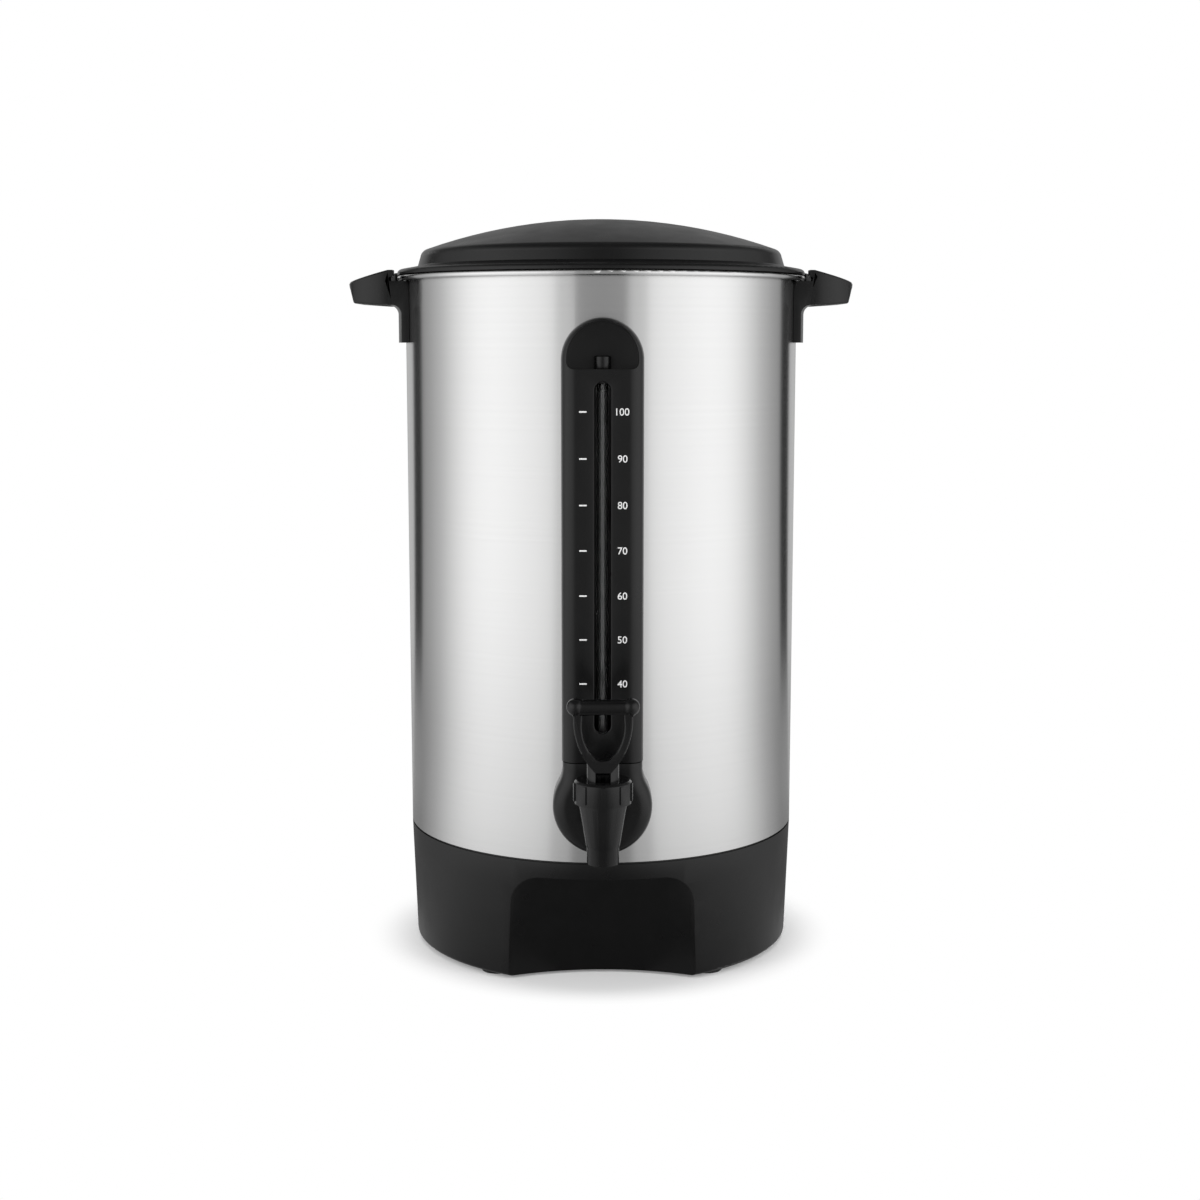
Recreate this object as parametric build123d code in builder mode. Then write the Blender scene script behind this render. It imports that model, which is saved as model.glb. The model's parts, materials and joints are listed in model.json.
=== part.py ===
# Coffee urn for about 100 cups: a steel tank on a plastic base, with a percolator, a level gauge and a tap.
# Sizes are in millimetres. The origin is on the tank's axis in the plane of the feet, +Z is up
# and the tap points to -Y.
import os
from math import asin, cos, degrees, pi, radians, sin, sqrt

from build123d import *

os.makedirs("parts", exist_ok=True)

overcut = 20.0  # how far a cut runs past what it cuts
contact_gap = 0.15
fit_clearance = 0.15
pin_clearance = 0.05
slide_clearance = 0.5

# Tank
body_radius = 131.0  # outside of the steel wall
sheet = 0.8
seam_z = 82.5  # where the steel meets the base
rim_z = 451.4  # top of the rolled rim
bead_radius = 1.95
bead_reach = 5.5  # from the wall to the outside of the rolled rim
rim_bend = 1.1
curl_end = -135.0  # degrees round the bead where the sheet ends
floor_rise = 6.5  # from the seam to the tank's floor
floor_sheet = 1.0
floor_corner = 3.0
well_depth = 12.0
well_slope = 3.0

# Base
foot_height = 2.0
foot_radius = 10.0
foot_inset = 12.7  # from the base's outside to the middle of a foot
foot_angle = 36.5  # degrees from the front or the back
foot_stem_radius = 3.8
base_taper = 2.8  # how much smaller the base is at its bottom than the tank
base_edge = 2.5
base_wall = 2.6
seam_groove_height = 1.3
seam_groove_depth = 1.0
lip_thickness = 4.0
lip_width = 35.2
recess_half_width = 60.8
recess_lean = 2.6  # how much narrower each side is at the top
recess_height = 69.0
recess_corner = 20.0
recess_curve = 148.2  # radius of its hollow face
recess_depth = 28.2  # at the middle, from the base's outside at the bottom
plate_thickness = 1.2
plate_clearance = 0.8
vent_length = 22.0
vent_width = 3.0
vent_circle = 34.0
vent_count = 8

# Studs and nuts that clamp the base to the tank
stud_radius = 2.5
stud_inset = 9.0  # from the edge of the base's lip
stud_angles = (60.0, 180.0, 300.0)
stud_pad_radius = 6.0
stud_pad_thickness = 1.5
stud_end_z = 1.4
nut_flats = 8.0
nut_height = 4.0

# Heating parts under the tank
spreader_gap = 4.0  # round the well
spreader_stud_gap = 6.0
spreader_thickness = 4.0
heater_tube = 3.5
heater_place = 2 / 3  # of the way out to the studs
heater_gap = 17.0  # degrees between the ring's ends
heater_leg = 14.0
warmer_gap = 2.0  # round the studs' pads
warmer_width = 24.0
warmer_thickness = 3.0
thermostat_radius = 9.0
thermostat_height = 8.0
strap_thickness = 1.2
strap_width = 12.0
strap_inset = 2.0  # from the spreader's inner edge
strap_heater_gap = 3.5  # from its feet to the heater
fuse_radius = 2.2
fuse_length = 14.0

# Power inlet, switch and wiring at the back of the base
pocket_depth = 4.7
pocket_width = 76.0
pocket_height = 40.0
pocket_z = 42.0
pocket_corner = 4.0
inlet_x = -16.0
inlet_width = 27.6
inlet_height = 20.0
inlet_depth = 18.0
inlet_flange = 2.4  # how far the flange stands past the body on each side
flange_thickness = 2.2
socket_width = 24.0
socket_height = 16.0
socket_depth = 15.0
socket_bevel = 4.5
blade_width = 2.0
blade_height = 4.0
blade_spacing = 7.0
blade_rise = 2.0
blade_reach = 11.0
tab_length = 8.0
tab_spacing = 10.0
switch_x = 20.0
switch_width = 12.8
switch_height = 18.8
switch_depth = 16.0
rocker_width = 9.6
rocker_length = 15.4
rocker_tilt = 9.0
rocker_gap = 0.45
rocker_pin_radius = 1.2
rocker_crown = 2.6
rocker_drop = 5.0  # from the pivot to its rounded underside
rocker_cheek = 1.0
rocker_sink = 1.0  # from the pocket's face to the pivot
rocker_pin_reach = 1.3
switch_floor = 2.0
block_width = 34.0
block_length = 30.0
block_height = 14.0
block_y = 63.0
wire_radius = 1.3
wire_bend = 6.0
wire_spacing = 8.0

# Handles, with their reaches taken from the outside of the wall
handle_half_width = 36.0
handle_reach = 37.1
handle_corner = 28.0
handle_drop = 18.4  # from the rim down to the underside at its outer end
handle_dip = 1.2  # how much lower the underside is at its root
handle_nose_height = 13.9
handle_nose_slant = 4.2
handle_nose_fillet = 2.0
hook_gap = 0.1
hook_width = 3.4
hook_rise = 3.1  # over the rim
hook_thickness = 4.5
root_drop = 4.1  # from the rim to the top of the root
leg_drop = 44.1
leg_thickness = 4.8
leg_fillet = 6.0
grip_gap_start = 7.6
grip_gap_depth = 19.6
grip_gap_half_width = 24.0
handle_screw_drop = 12.0
handle_screw_y = 15.0

# Lid
lid_rise = 37.2  # from the rim to the lid's top
lid_dome = 350.0
lid_shoulder_inset = 14.0  # from the outside of the wall to the dome's edge
lid_wall = 2.4
lid_gap = 0.3  # between the lid's flange and the rim
shoulder_reach = 3.8
shoulder_drop = 4.6
wall_lean = 1.8
flange_height = 3.6
flange_rise = 2.6
flange_reach = 5.3
flange_edge = 2.2
wall_foot_step = 1.2
wall_foot_drop = 0.7
plug_depth = 8.0
plug_wall = 2.4
plug_clearance = 0.7

# Screws
screw_radius = 2.0
screw_head_radius = 3.8
screw_head_height = 2.4
handle_screw_length = 8.0
shield_screw_length = 14.0

# Gauge, with its reaches taken from the outside of the wall
cover_reach = 18.5
cover_sink = 9.0  # covers start this far inside the wall and are cut back to it
cover_wall = 2.5
cover_flank = 9.4
cover_split = 0.25
shield_half_width = 25.2
shield_top_drop = 28.9
shield_bottom_rise = 28.7  # from the tap's axis
hood_half_width = 21.9
hood_drop = 2.4
hood_height = 28.4
hood_corner = 4.3
hood_back_wall = 3.2
hood_floor = 2.6
slot_width = 10.2
slot_top_drop = 38.2
slot_bottom_rise = 47.3
gauge_reach = 8.8
glass_radius = 3.6
glass_wall = 1.2
seal_wall = 1.4
top_seal_length = 6.0
bottom_seal_length = 12.0
glass_inset = 2.0
ring_wall = 1.8
ring_height = 5.0
cap_radius = 5.3
cap_height = 7.9
cap_chamfer = 0.6
cap_stem_radius = 2.0
cap_stem_length = 12.5
shield_screw_x = 15.0
shield_screw_drop = 74.0
screw_boss_radius = 3.7

# Tap
tap_rise = 39.5  # from the seam to the tap's axis
plate_radius = 31.0  # round part of the escutcheon
plate_neck_half_width = 24.8
plate_neck_fillet = 22.0
shank_radius = 9.0
shank_bore = 6.0
shank_inner_reach = 18.0  # into the tank
shank_outer_reach = 21.0
shank_flange_radius = 14.0
shank_flange_thickness = 2.6
shank_flange_reach = 2.4
gauge_boss_radius = 6.2
gauge_boss_rise = 24.0
gauge_bore = 2.4
tap_nut_flats = 26.0
tap_nut_height = 7.0
tap_seal_thickness = 3.0
tap_stand_off = 45.7  # from the outside of the wall to the spout's axis
nozzle_radius = 9.8
nozzle_length = 10.0
nozzle_drop = 26.5  # from the tap's axis to the spout's mouth
cone_bottom_radius = 10.3
cone_top_radius = 14.9
cone_top_rise = 11.0
cone_step = 1.2
outlet_radius = 5.5
chamber_radius = 8.0
seat_drop = 12.0
nipple_radius = 5.8
nipple_bore = 4.0
nipple_length = 8.0
arm_radius = 10.5
neck_radius = 12.3
neck_top_rise = 21.0
collar_radius = 17.3
collar_lip = 1.7
collar_top_rise = 25.3
collar_chamfer = 1.2
rib_radius = 18.1
rib_width = 2.6
rib_count = 9
rib_drop = 1.6  # ribs end this far from the collar's ends
turret_radius = 9.75
turret_flange_radius = 12.0
turret_flange_height = 2.4
turret_top_rise = 35.3
turret_floor = 2.8
turret_slot_width = 9.0
turret_slot_back = 6.8

# Tap lever and valve
pin_rise = 6.0  # from the slot's floor to the lever's pin
pin_radius = 1.5
lever_width = 8.2
lever_heel = 6.0
lever_toe = 7.0
lever_gap = 0.15
lever_front = 12.5  # from the tap's axis to the middle of the fork
lever_toe_drop = 2.6  # from the fork's neck to the top of the toe
lever_thickness = 6.0
fork_half_width = 17.7
fork_arm = 5.2
fork_neck_rise = 32.5  # from the tap's axis
fork_neck_width = 9.4
fork_shoulder_rise = 64.0
fork_inner_rise = 39.4
bar_rise = 72.0
bar_radius = 4.4
knob_radius = 5.3
knob_reach = 21.7
blade_thickness = 2.0
blade_depth = 5.0
blade_clearance = 0.3
blade_root = 4.5  # how far the blade reaches below the slot's floor
blade_eye = 2.9
blade_slot_rise = 5.0  # from the pin to the top of the lever's slot
stem_radius = 2.0
cup_radius = 7.2
cup_height = 9.0
cup_socket = 5.0
cup_chamfer = 1.5
seat_gap = 0.1
spring_wire = 0.6
spring_radius = 4.4
spring_turns = 7.0
spring_seat = 1.0

# Percolator
pump_gap = 4.0  # round the pump in its well
pump_height = 9.0
pump_wall = 1.2
pump_lift = 0.3
pump_hole_circle = 19.6
pump_hole_count = 6
stem_tube_radius = 4.5
stem_tube_wall = 1.0
stem_tube_top_drop = 10.0
stop_radius = 8.0
stop_height = 3.0
basket_radius = 92.0
basket_height = 88.0
basket_top_drop = 34.0
basket_sheet = 1.0
basket_sleeve_wall = 1.0
basket_flange = 4.0
basket_hole_radius = 1.8
basket_hole_pitch = 13.0
basket_hole_circles = (24.0, 42.0, 60.0, 78.0)
cover_sheet = 1.0
cover_skirt = 8.0
cover_collar = 6.0
cover_hole_pitch = 16.0
cover_hole_circles = (30.0, 52.0, 74.0)

# Heights and radii that follow from the sizes above
tank_radius = body_radius - sheet
base_radius = body_radius - base_taper
foot_circle = base_radius - foot_inset
lip_opening_radius = base_radius - lip_width
stud_circle = lip_opening_radius - stud_inset
spreader_outer = stud_circle - stud_pad_radius - spreader_stud_gap
heater_ring = heater_place * stud_circle
spreader_inner = 2 * heater_ring - spreader_outer  # as far inside the heater's ring as outside it
well_radius = spreader_inner - spreader_gap - floor_sheet - well_slope
strap_half_span = spreader_inner + strap_inset
strap_foot = heater_ring - heater_tube - strap_heater_gap - strap_half_span
warmer_inner = stud_circle + stud_pad_radius + warmer_gap
warmer_outer = warmer_inner + warmer_width
pocket_y = base_radius - pocket_depth
handle_end = body_radius + handle_reach
hook_reach = body_radius + bead_reach + hook_gap
hook_root = hook_reach + hook_width
leg_reach = body_radius + leg_thickness
grip_reach = leg_reach + 1.5 * leg_fillet
lid_shoulder = body_radius - lid_shoulder_inset
flange_radius = body_radius + flange_reach
cover_front = body_radius + cover_reach
cover_back = body_radius - cover_sink
hood_back = body_radius + hood_back_wall
gauge_y = body_radius + gauge_reach
shank_inner_y = body_radius - shank_inner_reach
shank_outer_y = body_radius + shank_outer_reach
shank_flange_y = body_radius + shank_flange_reach
tap_reach = body_radius + tap_stand_off
pump_radius = well_radius - pump_gap
floor_z = seam_z + floor_rise
under_floor_z = floor_z - floor_sheet
well_z = floor_z - well_depth
under_well_z = well_z - floor_sheet
tap_z = seam_z + tap_rise
lid_top_z = rim_z + lid_rise
shield_top_z = rim_z - shield_top_drop
shield_bottom_z = tap_z + shield_bottom_rise
hood_top_z = shield_top_z - hood_drop
hood_floor_z = hood_top_z - hood_height
shield_screw_z = rim_z - shield_screw_drop
handle_screw_z = rim_z - handle_screw_drop
lip_z = foot_height + lip_thickness
plate_top_z = lip_z + plate_thickness
handle_screw_seat = sqrt(tank_radius**2 - (handle_screw_y + screw_head_radius) ** 2) - contact_gap
handle_screw_end = handle_screw_seat + handle_screw_length
shield_screw_seat = sqrt(tank_radius**2 - (shield_screw_x + screw_head_radius) ** 2) - contact_gap
shield_screw_end = shield_screw_seat + shield_screw_length


def on_circle(centre, radius, angle):
    return (centre[0] + radius * cos(radians(angle)), centre[1] + radius * sin(radians(angle)))


def depth_at(radius, offset):
    # distance from the axis's plane to a round wall, at a sideways offset
    return sqrt(radius**2 - offset**2)


def front_plane(distance):
    # upright plane in front of the axis, facing the tap: its x is +X and its y is +Z
    return Plane.XZ.offset(distance)


def ring(outer, inner):
    Circle(outer)
    Circle(inner, mode=Mode.SUBTRACT)


# ---- Steel tank ----

bend_centre = (body_radius + rim_bend, rim_z - sheet - rim_bend)
bead_centre = (body_radius + bead_reach - bead_radius, rim_z - bead_radius)
curl_middle = (90 + curl_end) / 2
curl_inner = bead_radius - sheet

with BuildPart() as tank_wall:
    with BuildSketch(Plane.XZ):
        with BuildLine():
            Polyline((tank_radius, bend_centre[1]), (tank_radius, seam_z), (body_radius, seam_z),
                     (body_radius, bend_centre[1]))
            ThreePointArc((body_radius, bend_centre[1]), on_circle(bend_centre, rim_bend, 135),
                          (bend_centre[0], rim_z - sheet))
            Line((bend_centre[0], rim_z - sheet), (bead_centre[0], rim_z - sheet))
            ThreePointArc((bead_centre[0], rim_z - sheet), on_circle(bead_centre, curl_inner, curl_middle),
                          on_circle(bead_centre, curl_inner, curl_end))
            Line(on_circle(bead_centre, curl_inner, curl_end), on_circle(bead_centre, bead_radius, curl_end))
            ThreePointArc(on_circle(bead_centre, bead_radius, curl_end),
                          on_circle(bead_centre, bead_radius, curl_middle), (bead_centre[0], rim_z))
            Line((bead_centre[0], rim_z), (bend_centre[0], rim_z))
            ThreePointArc((bend_centre[0], rim_z), on_circle(bend_centre, rim_bend + sheet, 135),
                          (tank_radius, bend_centre[1]))
        make_face()
    revolve(axis=Axis.Z)
    with BuildSketch(Plane.XZ):
        with Locations((0, tap_z)):
            Circle(shank_radius + fit_clearance)
        with Locations((-shield_screw_x, shield_screw_z), (shield_screw_x, shield_screw_z)):
            Circle(screw_radius + fit_clearance)
    extrude(amount=body_radius + overcut, mode=Mode.SUBTRACT)
    with BuildSketch(Plane.YZ):
        with Locations((-handle_screw_y, handle_screw_z), (handle_screw_y, handle_screw_z)):
            Circle(screw_radius + fit_clearance)
    extrude(amount=body_radius + overcut, both=True, mode=Mode.SUBTRACT)
tank_wall.part.label = "tank_wall"
export_step(tank_wall.part, "parts/tank_wall.step")

corner_centre = (tank_radius - floor_corner, floor_z - floor_corner)
with BuildPart() as tank_bottom:
    with BuildSketch(Plane.XZ):
        with BuildLine():
            Polyline((0, under_well_z), (0, well_z), (well_radius, well_z),
                     (well_radius + well_slope, floor_z), (corner_centre[0], floor_z))
            ThreePointArc((corner_centre[0], floor_z), on_circle(corner_centre, floor_corner, 45),
                          (tank_radius, corner_centre[1]))
            Polyline((tank_radius, corner_centre[1]), (tank_radius, seam_z),
                     (tank_radius - floor_sheet, seam_z), (tank_radius - floor_sheet, corner_centre[1]))
            ThreePointArc((tank_radius - floor_sheet, corner_centre[1]),
                          on_circle(corner_centre, floor_corner - floor_sheet, 45),
                          (corner_centre[0], under_floor_z))
            Polyline((corner_centre[0], under_floor_z),
                     (well_radius + well_slope + floor_sheet, under_floor_z),
                     (well_radius + floor_sheet, under_well_z), (0, under_well_z))
        make_face()
    revolve(axis=Axis.Z)
tank_bottom.part.label = "tank_bottom"
export_step(tank_bottom.part, "parts/tank_bottom.step")

# ---- Plastic base ----


def recess_shape(margin):
    # arched hollow in the front of the base, grown on every side by a margin
    top = foot_height + recess_height + margin
    with BuildPart() as shape:
        with BuildSketch(front_plane(0)) as outline:
            with BuildLine():
                Polyline((recess_half_width + margin, -1), (recess_half_width - recess_lean + margin, top),
                         (-recess_half_width + recess_lean - margin, top), (-recess_half_width - margin, -1),
                         close=True)
            make_face()
            fillet(outline.vertices().group_by(Axis.Y)[-1], recess_corner + margin)
        extrude(amount=body_radius + overcut)
        with BuildSketch():
            with Locations((0, recess_depth - base_radius - recess_curve)):
                Circle(recess_curve + margin)
        extrude(amount=seam_z, both=True, mode=Mode.INTERSECT)
    return shape.part


with BuildPart() as base_cavity:
    with BuildSketch(Plane.XZ):
        with BuildLine():
            Polyline((0, lip_z), (base_radius - base_wall, lip_z), (body_radius - base_wall, seam_z),
                     (0, seam_z), close=True)
        make_face()
    revolve(axis=Axis.Z)
    add(recess_shape(base_wall), mode=Mode.SUBTRACT)
    with BuildSketch(front_plane(base_wall - pocket_y)):
        with Locations((0, pocket_z)):
            RectangleRounded(pocket_width + 2 * base_wall, pocket_height + 2 * base_wall,
                             pocket_corner + base_wall)
    extrude(amount=-base_wall - overcut, mode=Mode.SUBTRACT)

foot_directions = (270 - foot_angle, 270 + foot_angle, 90 - foot_angle, 90 + foot_angle)
foot_spots = [on_circle((0, 0), foot_circle, angle) for angle in foot_directions]

with BuildPart() as base_skirt:
    with BuildSketch(Plane.XZ):
        with BuildLine():
            Line((0, foot_height), (base_radius - base_edge, foot_height))
            ThreePointArc((base_radius - base_edge, foot_height),
                          on_circle((base_radius - base_edge, foot_height + base_edge), base_edge, -45),
                          (base_radius, foot_height + base_edge))
            Polyline((base_radius, foot_height + base_edge), (body_radius, seam_z - seam_groove_height),
                     (body_radius - seam_groove_depth, seam_z - seam_groove_height),
                     (body_radius - seam_groove_depth, seam_z), (0, seam_z), (0, foot_height))
        make_face()
    revolve(axis=Axis.Z)
    add(recess_shape(0), mode=Mode.SUBTRACT)
    with BuildSketch(front_plane(-pocket_y)):
        with Locations((0, pocket_z)):
            RectangleRounded(pocket_width, pocket_height, pocket_corner)
    extrude(amount=-overcut, mode=Mode.SUBTRACT)
    add(base_cavity.part, mode=Mode.SUBTRACT)
    with BuildSketch():
        Circle(lip_opening_radius)
    extrude(amount=lip_z, mode=Mode.SUBTRACT)
    with BuildSketch(Plane.XY.offset(foot_height)):
        with Locations(*foot_spots):
            Circle(foot_stem_radius + fit_clearance)
    extrude(amount=lip_thickness, mode=Mode.SUBTRACT)
    with BuildSketch(front_plane(-pocket_y)):
        with Locations((inlet_x, pocket_z)):
            Rectangle(inlet_width + 2 * fit_clearance, inlet_height + 2 * fit_clearance)
        with Locations((switch_x, pocket_z)):
            Rectangle(switch_width + 2 * fit_clearance, switch_height + 2 * fit_clearance)
    extrude(amount=base_wall, mode=Mode.SUBTRACT)
base_skirt.part.label = "base_skirt"
export_step(base_skirt.part, "parts/base_skirt.step")

stud_spots = [on_circle((0, 0), stud_circle, angle) for angle in stud_angles]
with BuildPart() as base_plate:
    with BuildSketch(Plane.XY.offset(lip_z)):
        Circle(base_radius - base_wall - plate_clearance)
        with Locations(*stud_spots):
            Circle(stud_radius + fit_clearance, mode=Mode.SUBTRACT)
        with PolarLocations(vent_circle, vent_count):
            SlotOverall(vent_length, vent_width, mode=Mode.SUBTRACT)
    extrude(amount=plate_thickness)
    add(recess_shape(base_wall + plate_clearance), mode=Mode.SUBTRACT)
    with BuildSketch(Plane.XY.offset(lip_z)):
        with Locations(*foot_spots):
            Circle(foot_stem_radius + fit_clearance)
    extrude(amount=plate_thickness, mode=Mode.SUBTRACT)
base_plate.part.label = "base_plate"
export_step(base_plate.part, "parts/base_plate.step")

with BuildPart() as base_feet:
    with BuildSketch():
        with Locations(*foot_spots):
            Circle(foot_radius)
    extrude(amount=foot_height)
    with BuildSketch(Plane.XY.offset(foot_height)):
        with Locations(*foot_spots):
            Circle(foot_stem_radius)
    extrude(amount=lip_thickness)
base_feet.part.label = "base_feet"
export_step(base_feet.part, "parts/base_feet.step")

with BuildPart() as base_studs:
    with BuildSketch(Plane.XY.offset(stud_end_z)):
        with Locations(*stud_spots):
            Circle(stud_radius)
    extrude(amount=under_floor_z - stud_end_z)
    with BuildSketch(Plane.XY.offset(under_floor_z)):
        with Locations(*stud_spots):
            Circle(stud_pad_radius)
    extrude(amount=-stud_pad_thickness)
base_studs.part.label = "base_studs"
export_step(base_studs.part, "parts/base_studs.step")

with BuildPart() as base_nuts:
    with BuildSketch(Plane.XY.offset(lip_z)):
        with Locations(*stud_spots):
            RegularPolygon(nut_flats / 2, 6, major_radius=False)
            Circle(stud_radius + pin_clearance, mode=Mode.SUBTRACT)
    extrude(amount=-nut_height)
base_nuts.part.label = "base_nuts"
export_step(base_nuts.part, "parts/base_nuts.step")

# ---- Heating parts ----

spreader_z = under_floor_z - spreader_thickness
heater_middle = degrees(asin(inlet_x / heater_ring))  # the gap faces the terminal block
heater_start = 90 - heater_middle + heater_gap / 2
heater_ends = [on_circle((0, 0), heater_ring, heater_start),
               on_circle((0, 0), heater_ring, heater_start - heater_gap)]

with BuildPart() as heat_spreader:
    with BuildSketch(Plane.XY.offset(spreader_z)):
        ring(spreader_outer, spreader_inner)
    extrude(amount=spreader_thickness)
    with BuildSketch(Plane.XZ):
        with Locations((heater_ring, spreader_z)):
            Circle(heater_tube + pin_clearance)
    revolve(axis=Axis.Z, mode=Mode.SUBTRACT)
heat_spreader.part.label = "heat_spreader"
export_step(heat_spreader.part, "parts/heat_spreader.step")

ring_start = Plane.XZ.rotated((0, 0, heater_start))
with BuildPart() as brew_heater:
    with BuildSketch(ring_start):
        with Locations((heater_ring, spreader_z)):
            Circle(heater_tube)
    revolve(axis=Axis.Z, revolution_arc=360 - heater_gap)
    with Locations(*[(x, y, spreader_z) for x, y in heater_ends]):
        Sphere(heater_tube)
    with BuildSketch(Plane.XY.offset(spreader_z)):
        with Locations(*heater_ends):
            Circle(heater_tube)
    extrude(amount=-heater_leg)
brew_heater.part.label = "brew_heater"
export_step(brew_heater.part, "parts/brew_heater.step")

with BuildPart() as warming_element:
    with BuildSketch(Plane.XY.offset(under_floor_z)):
        ring(warmer_outer, warmer_inner)
    extrude(amount=-warmer_thickness)
warming_element.part.label = "warming_element"
export_step(warming_element.part, "parts/warming_element.step")

with BuildPart() as thermostat:
    with BuildSketch(Plane.XY.offset(under_well_z)):
        Circle(thermostat_radius)
    extrude(amount=-thermostat_height)
thermostat.part.label = "thermostat"
export_step(thermostat.part, "parts/thermostat.step")

strap_z = under_well_z - thermostat_height
with BuildPart() as thermostat_strap:
    with BuildSketch(Plane.XZ):
        with BuildLine():
            Polyline((strap_half_span + strap_foot, spreader_z), (strap_half_span, spreader_z),
                     (strap_half_span, strap_z), (-strap_half_span, strap_z), (-strap_half_span, spreader_z),
                     (-strap_half_span - strap_foot, spreader_z),
                     (-strap_half_span - strap_foot, spreader_z - strap_thickness),
                     (-strap_half_span - strap_thickness, spreader_z - strap_thickness),
                     (-strap_half_span - strap_thickness, strap_z - strap_thickness),
                     (strap_half_span + strap_thickness, strap_z - strap_thickness),
                     (strap_half_span + strap_thickness, spreader_z - strap_thickness),
                     (strap_half_span + strap_foot, spreader_z - strap_thickness), close=True)
        make_face()
    extrude(amount=strap_width / 2, both=True)
thermostat_strap.part.label = "thermostat_strap"
export_step(thermostat_strap.part, "parts/thermostat_strap.step")

with BuildPart() as thermal_fuse:
    with BuildSketch(Plane.YZ):
        with Locations((-(heater_ring + heater_tube + spreader_outer) / 2, spreader_z - fuse_radius)):
            Circle(fuse_radius)
    extrude(amount=fuse_length / 2, both=True)
thermal_fuse.part.label = "thermal_fuse"
export_step(thermal_fuse.part, "parts/thermal_fuse.step")

# ---- Power inlet, switch and wiring ----

blade_spots = [(inlet_x - blade_spacing, pocket_z - blade_rise),
               (inlet_x + blade_spacing, pocket_z - blade_rise), (inlet_x, pocket_z + blade_rise)]
inlet_back = pocket_y - inlet_depth
socket_floor = pocket_y + flange_thickness - socket_depth

with BuildPart() as inlet_blades:
    with BuildSketch(front_plane(-socket_floor - blade_reach)):
        with Locations(*blade_spots):
            Rectangle(blade_width, blade_height)
    extrude(amount=socket_floor + blade_reach - inlet_back + tab_length)
inlet_blades.part.label = "inlet_blades"
export_step(inlet_blades.part, "parts/inlet_blades.step")

with BuildPart() as power_inlet:
    with BuildSketch(front_plane(-pocket_y)):
        with Locations((inlet_x, pocket_z)):
            Rectangle(inlet_width, inlet_height)
    extrude(amount=inlet_depth)
    with BuildSketch(front_plane(-pocket_y)):
        with Locations((inlet_x, pocket_z)):
            RectangleRounded(inlet_width + 2 * inlet_flange, inlet_height + 2 * inlet_flange, inlet_flange)
    extrude(amount=-flange_thickness)
    with BuildSketch(front_plane(-socket_floor)) as socket:
        with Locations((inlet_x, pocket_z)):
            Rectangle(socket_width, socket_height)
        chamfer(socket.vertices().group_by(Axis.Y)[-1], socket_bevel)
    extrude(amount=-socket_depth, mode=Mode.SUBTRACT)
    add(inlet_blades.part, mode=Mode.SUBTRACT)
power_inlet.part.label = "power_inlet"
export_step(power_inlet.part, "parts/power_inlet.step")

rocker_pivot_y = pocket_y - rocker_sink
rocker_room = rocker_length / 2 + rocker_gap + rocker_drop * sin(radians(rocker_tilt))
switch_back = pocket_y - switch_depth
tab_spots = [(switch_x, pocket_z - tab_spacing / 2), (switch_x, pocket_z + tab_spacing / 2)]

with BuildPart() as switch_housing:
    with BuildSketch(front_plane(-pocket_y)):
        with Locations((switch_x, pocket_z)):
            Rectangle(switch_width, switch_height)
    extrude(amount=switch_depth)
    with BuildSketch(front_plane(-pocket_y)):
        with Locations((switch_x, pocket_z)):
            RectangleRounded(switch_width + inlet_flange, switch_height + inlet_flange, inlet_flange / 2)
    extrude(amount=-flange_thickness)
    with BuildSketch(front_plane(-pocket_y - flange_thickness)):
        with Locations((switch_x, pocket_z)):
            Rectangle(rocker_width + 2 * rocker_gap, 2 * rocker_room)
    extrude(amount=switch_depth + flange_thickness - switch_floor, mode=Mode.SUBTRACT)
    with BuildSketch(Plane.YZ.offset(switch_x)):
        with Locations((rocker_pivot_y, pocket_z)):
            Circle(rocker_pin_radius + pin_clearance)
    extrude(amount=rocker_width / 2 + rocker_pin_reach + fit_clearance, both=True, mode=Mode.SUBTRACT)
switch_housing.part.label = "switch_housing"
export_step(switch_housing.part, "parts/switch_housing.step")

with BuildPart() as switch_tabs:
    with BuildSketch(front_plane(-switch_back)):
        with Locations(*tab_spots):
            Rectangle(blade_height, blade_width / 2)
    extrude(amount=tab_length)
switch_tabs.part.label = "switch_tabs"
export_step(switch_tabs.part, "parts/switch_tabs.step")

# The rocker rests with its lower end pressed in. Its plane's x runs up the face and its y out of the base.
rocker_plane = Plane(origin=(switch_x, rocker_pivot_y, pocket_z),
                     x_dir=(0, sin(radians(rocker_tilt)), cos(radians(rocker_tilt))), z_dir=(-1, 0, 0))
half_rocker = rocker_length / 2
with BuildPart() as switch_rocker:
    with BuildSketch(rocker_plane):
        with BuildLine():
            Line((-half_rocker, rocker_crown + flange_thickness), (-half_rocker, -rocker_cheek))
            ThreePointArc((-half_rocker, -rocker_cheek), (0, -rocker_drop), (half_rocker, -rocker_cheek))
            Polyline((half_rocker, -rocker_cheek), (half_rocker, rocker_crown + flange_thickness),
                     (0, flange_thickness), (-half_rocker, rocker_crown + flange_thickness))
        make_face()
    extrude(amount=rocker_width / 2, both=True)
    with BuildSketch(rocker_plane):
        Circle(rocker_pin_radius)
    extrude(amount=rocker_width / 2 + rocker_pin_reach, both=True)
switch_rocker.part.label = "switch_rocker"
export_step(switch_rocker.part, "parts/switch_rocker.step")

with BuildPart() as terminal_block:
    with BuildSketch(Plane.XY.offset(plate_top_z)):
        with Locations((inlet_x, block_y)):
            Rectangle(block_width, block_length)
    extrude(amount=block_height)
terminal_block.part.label = "terminal_block"
export_step(terminal_block.part, "parts/terminal_block.step")

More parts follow.
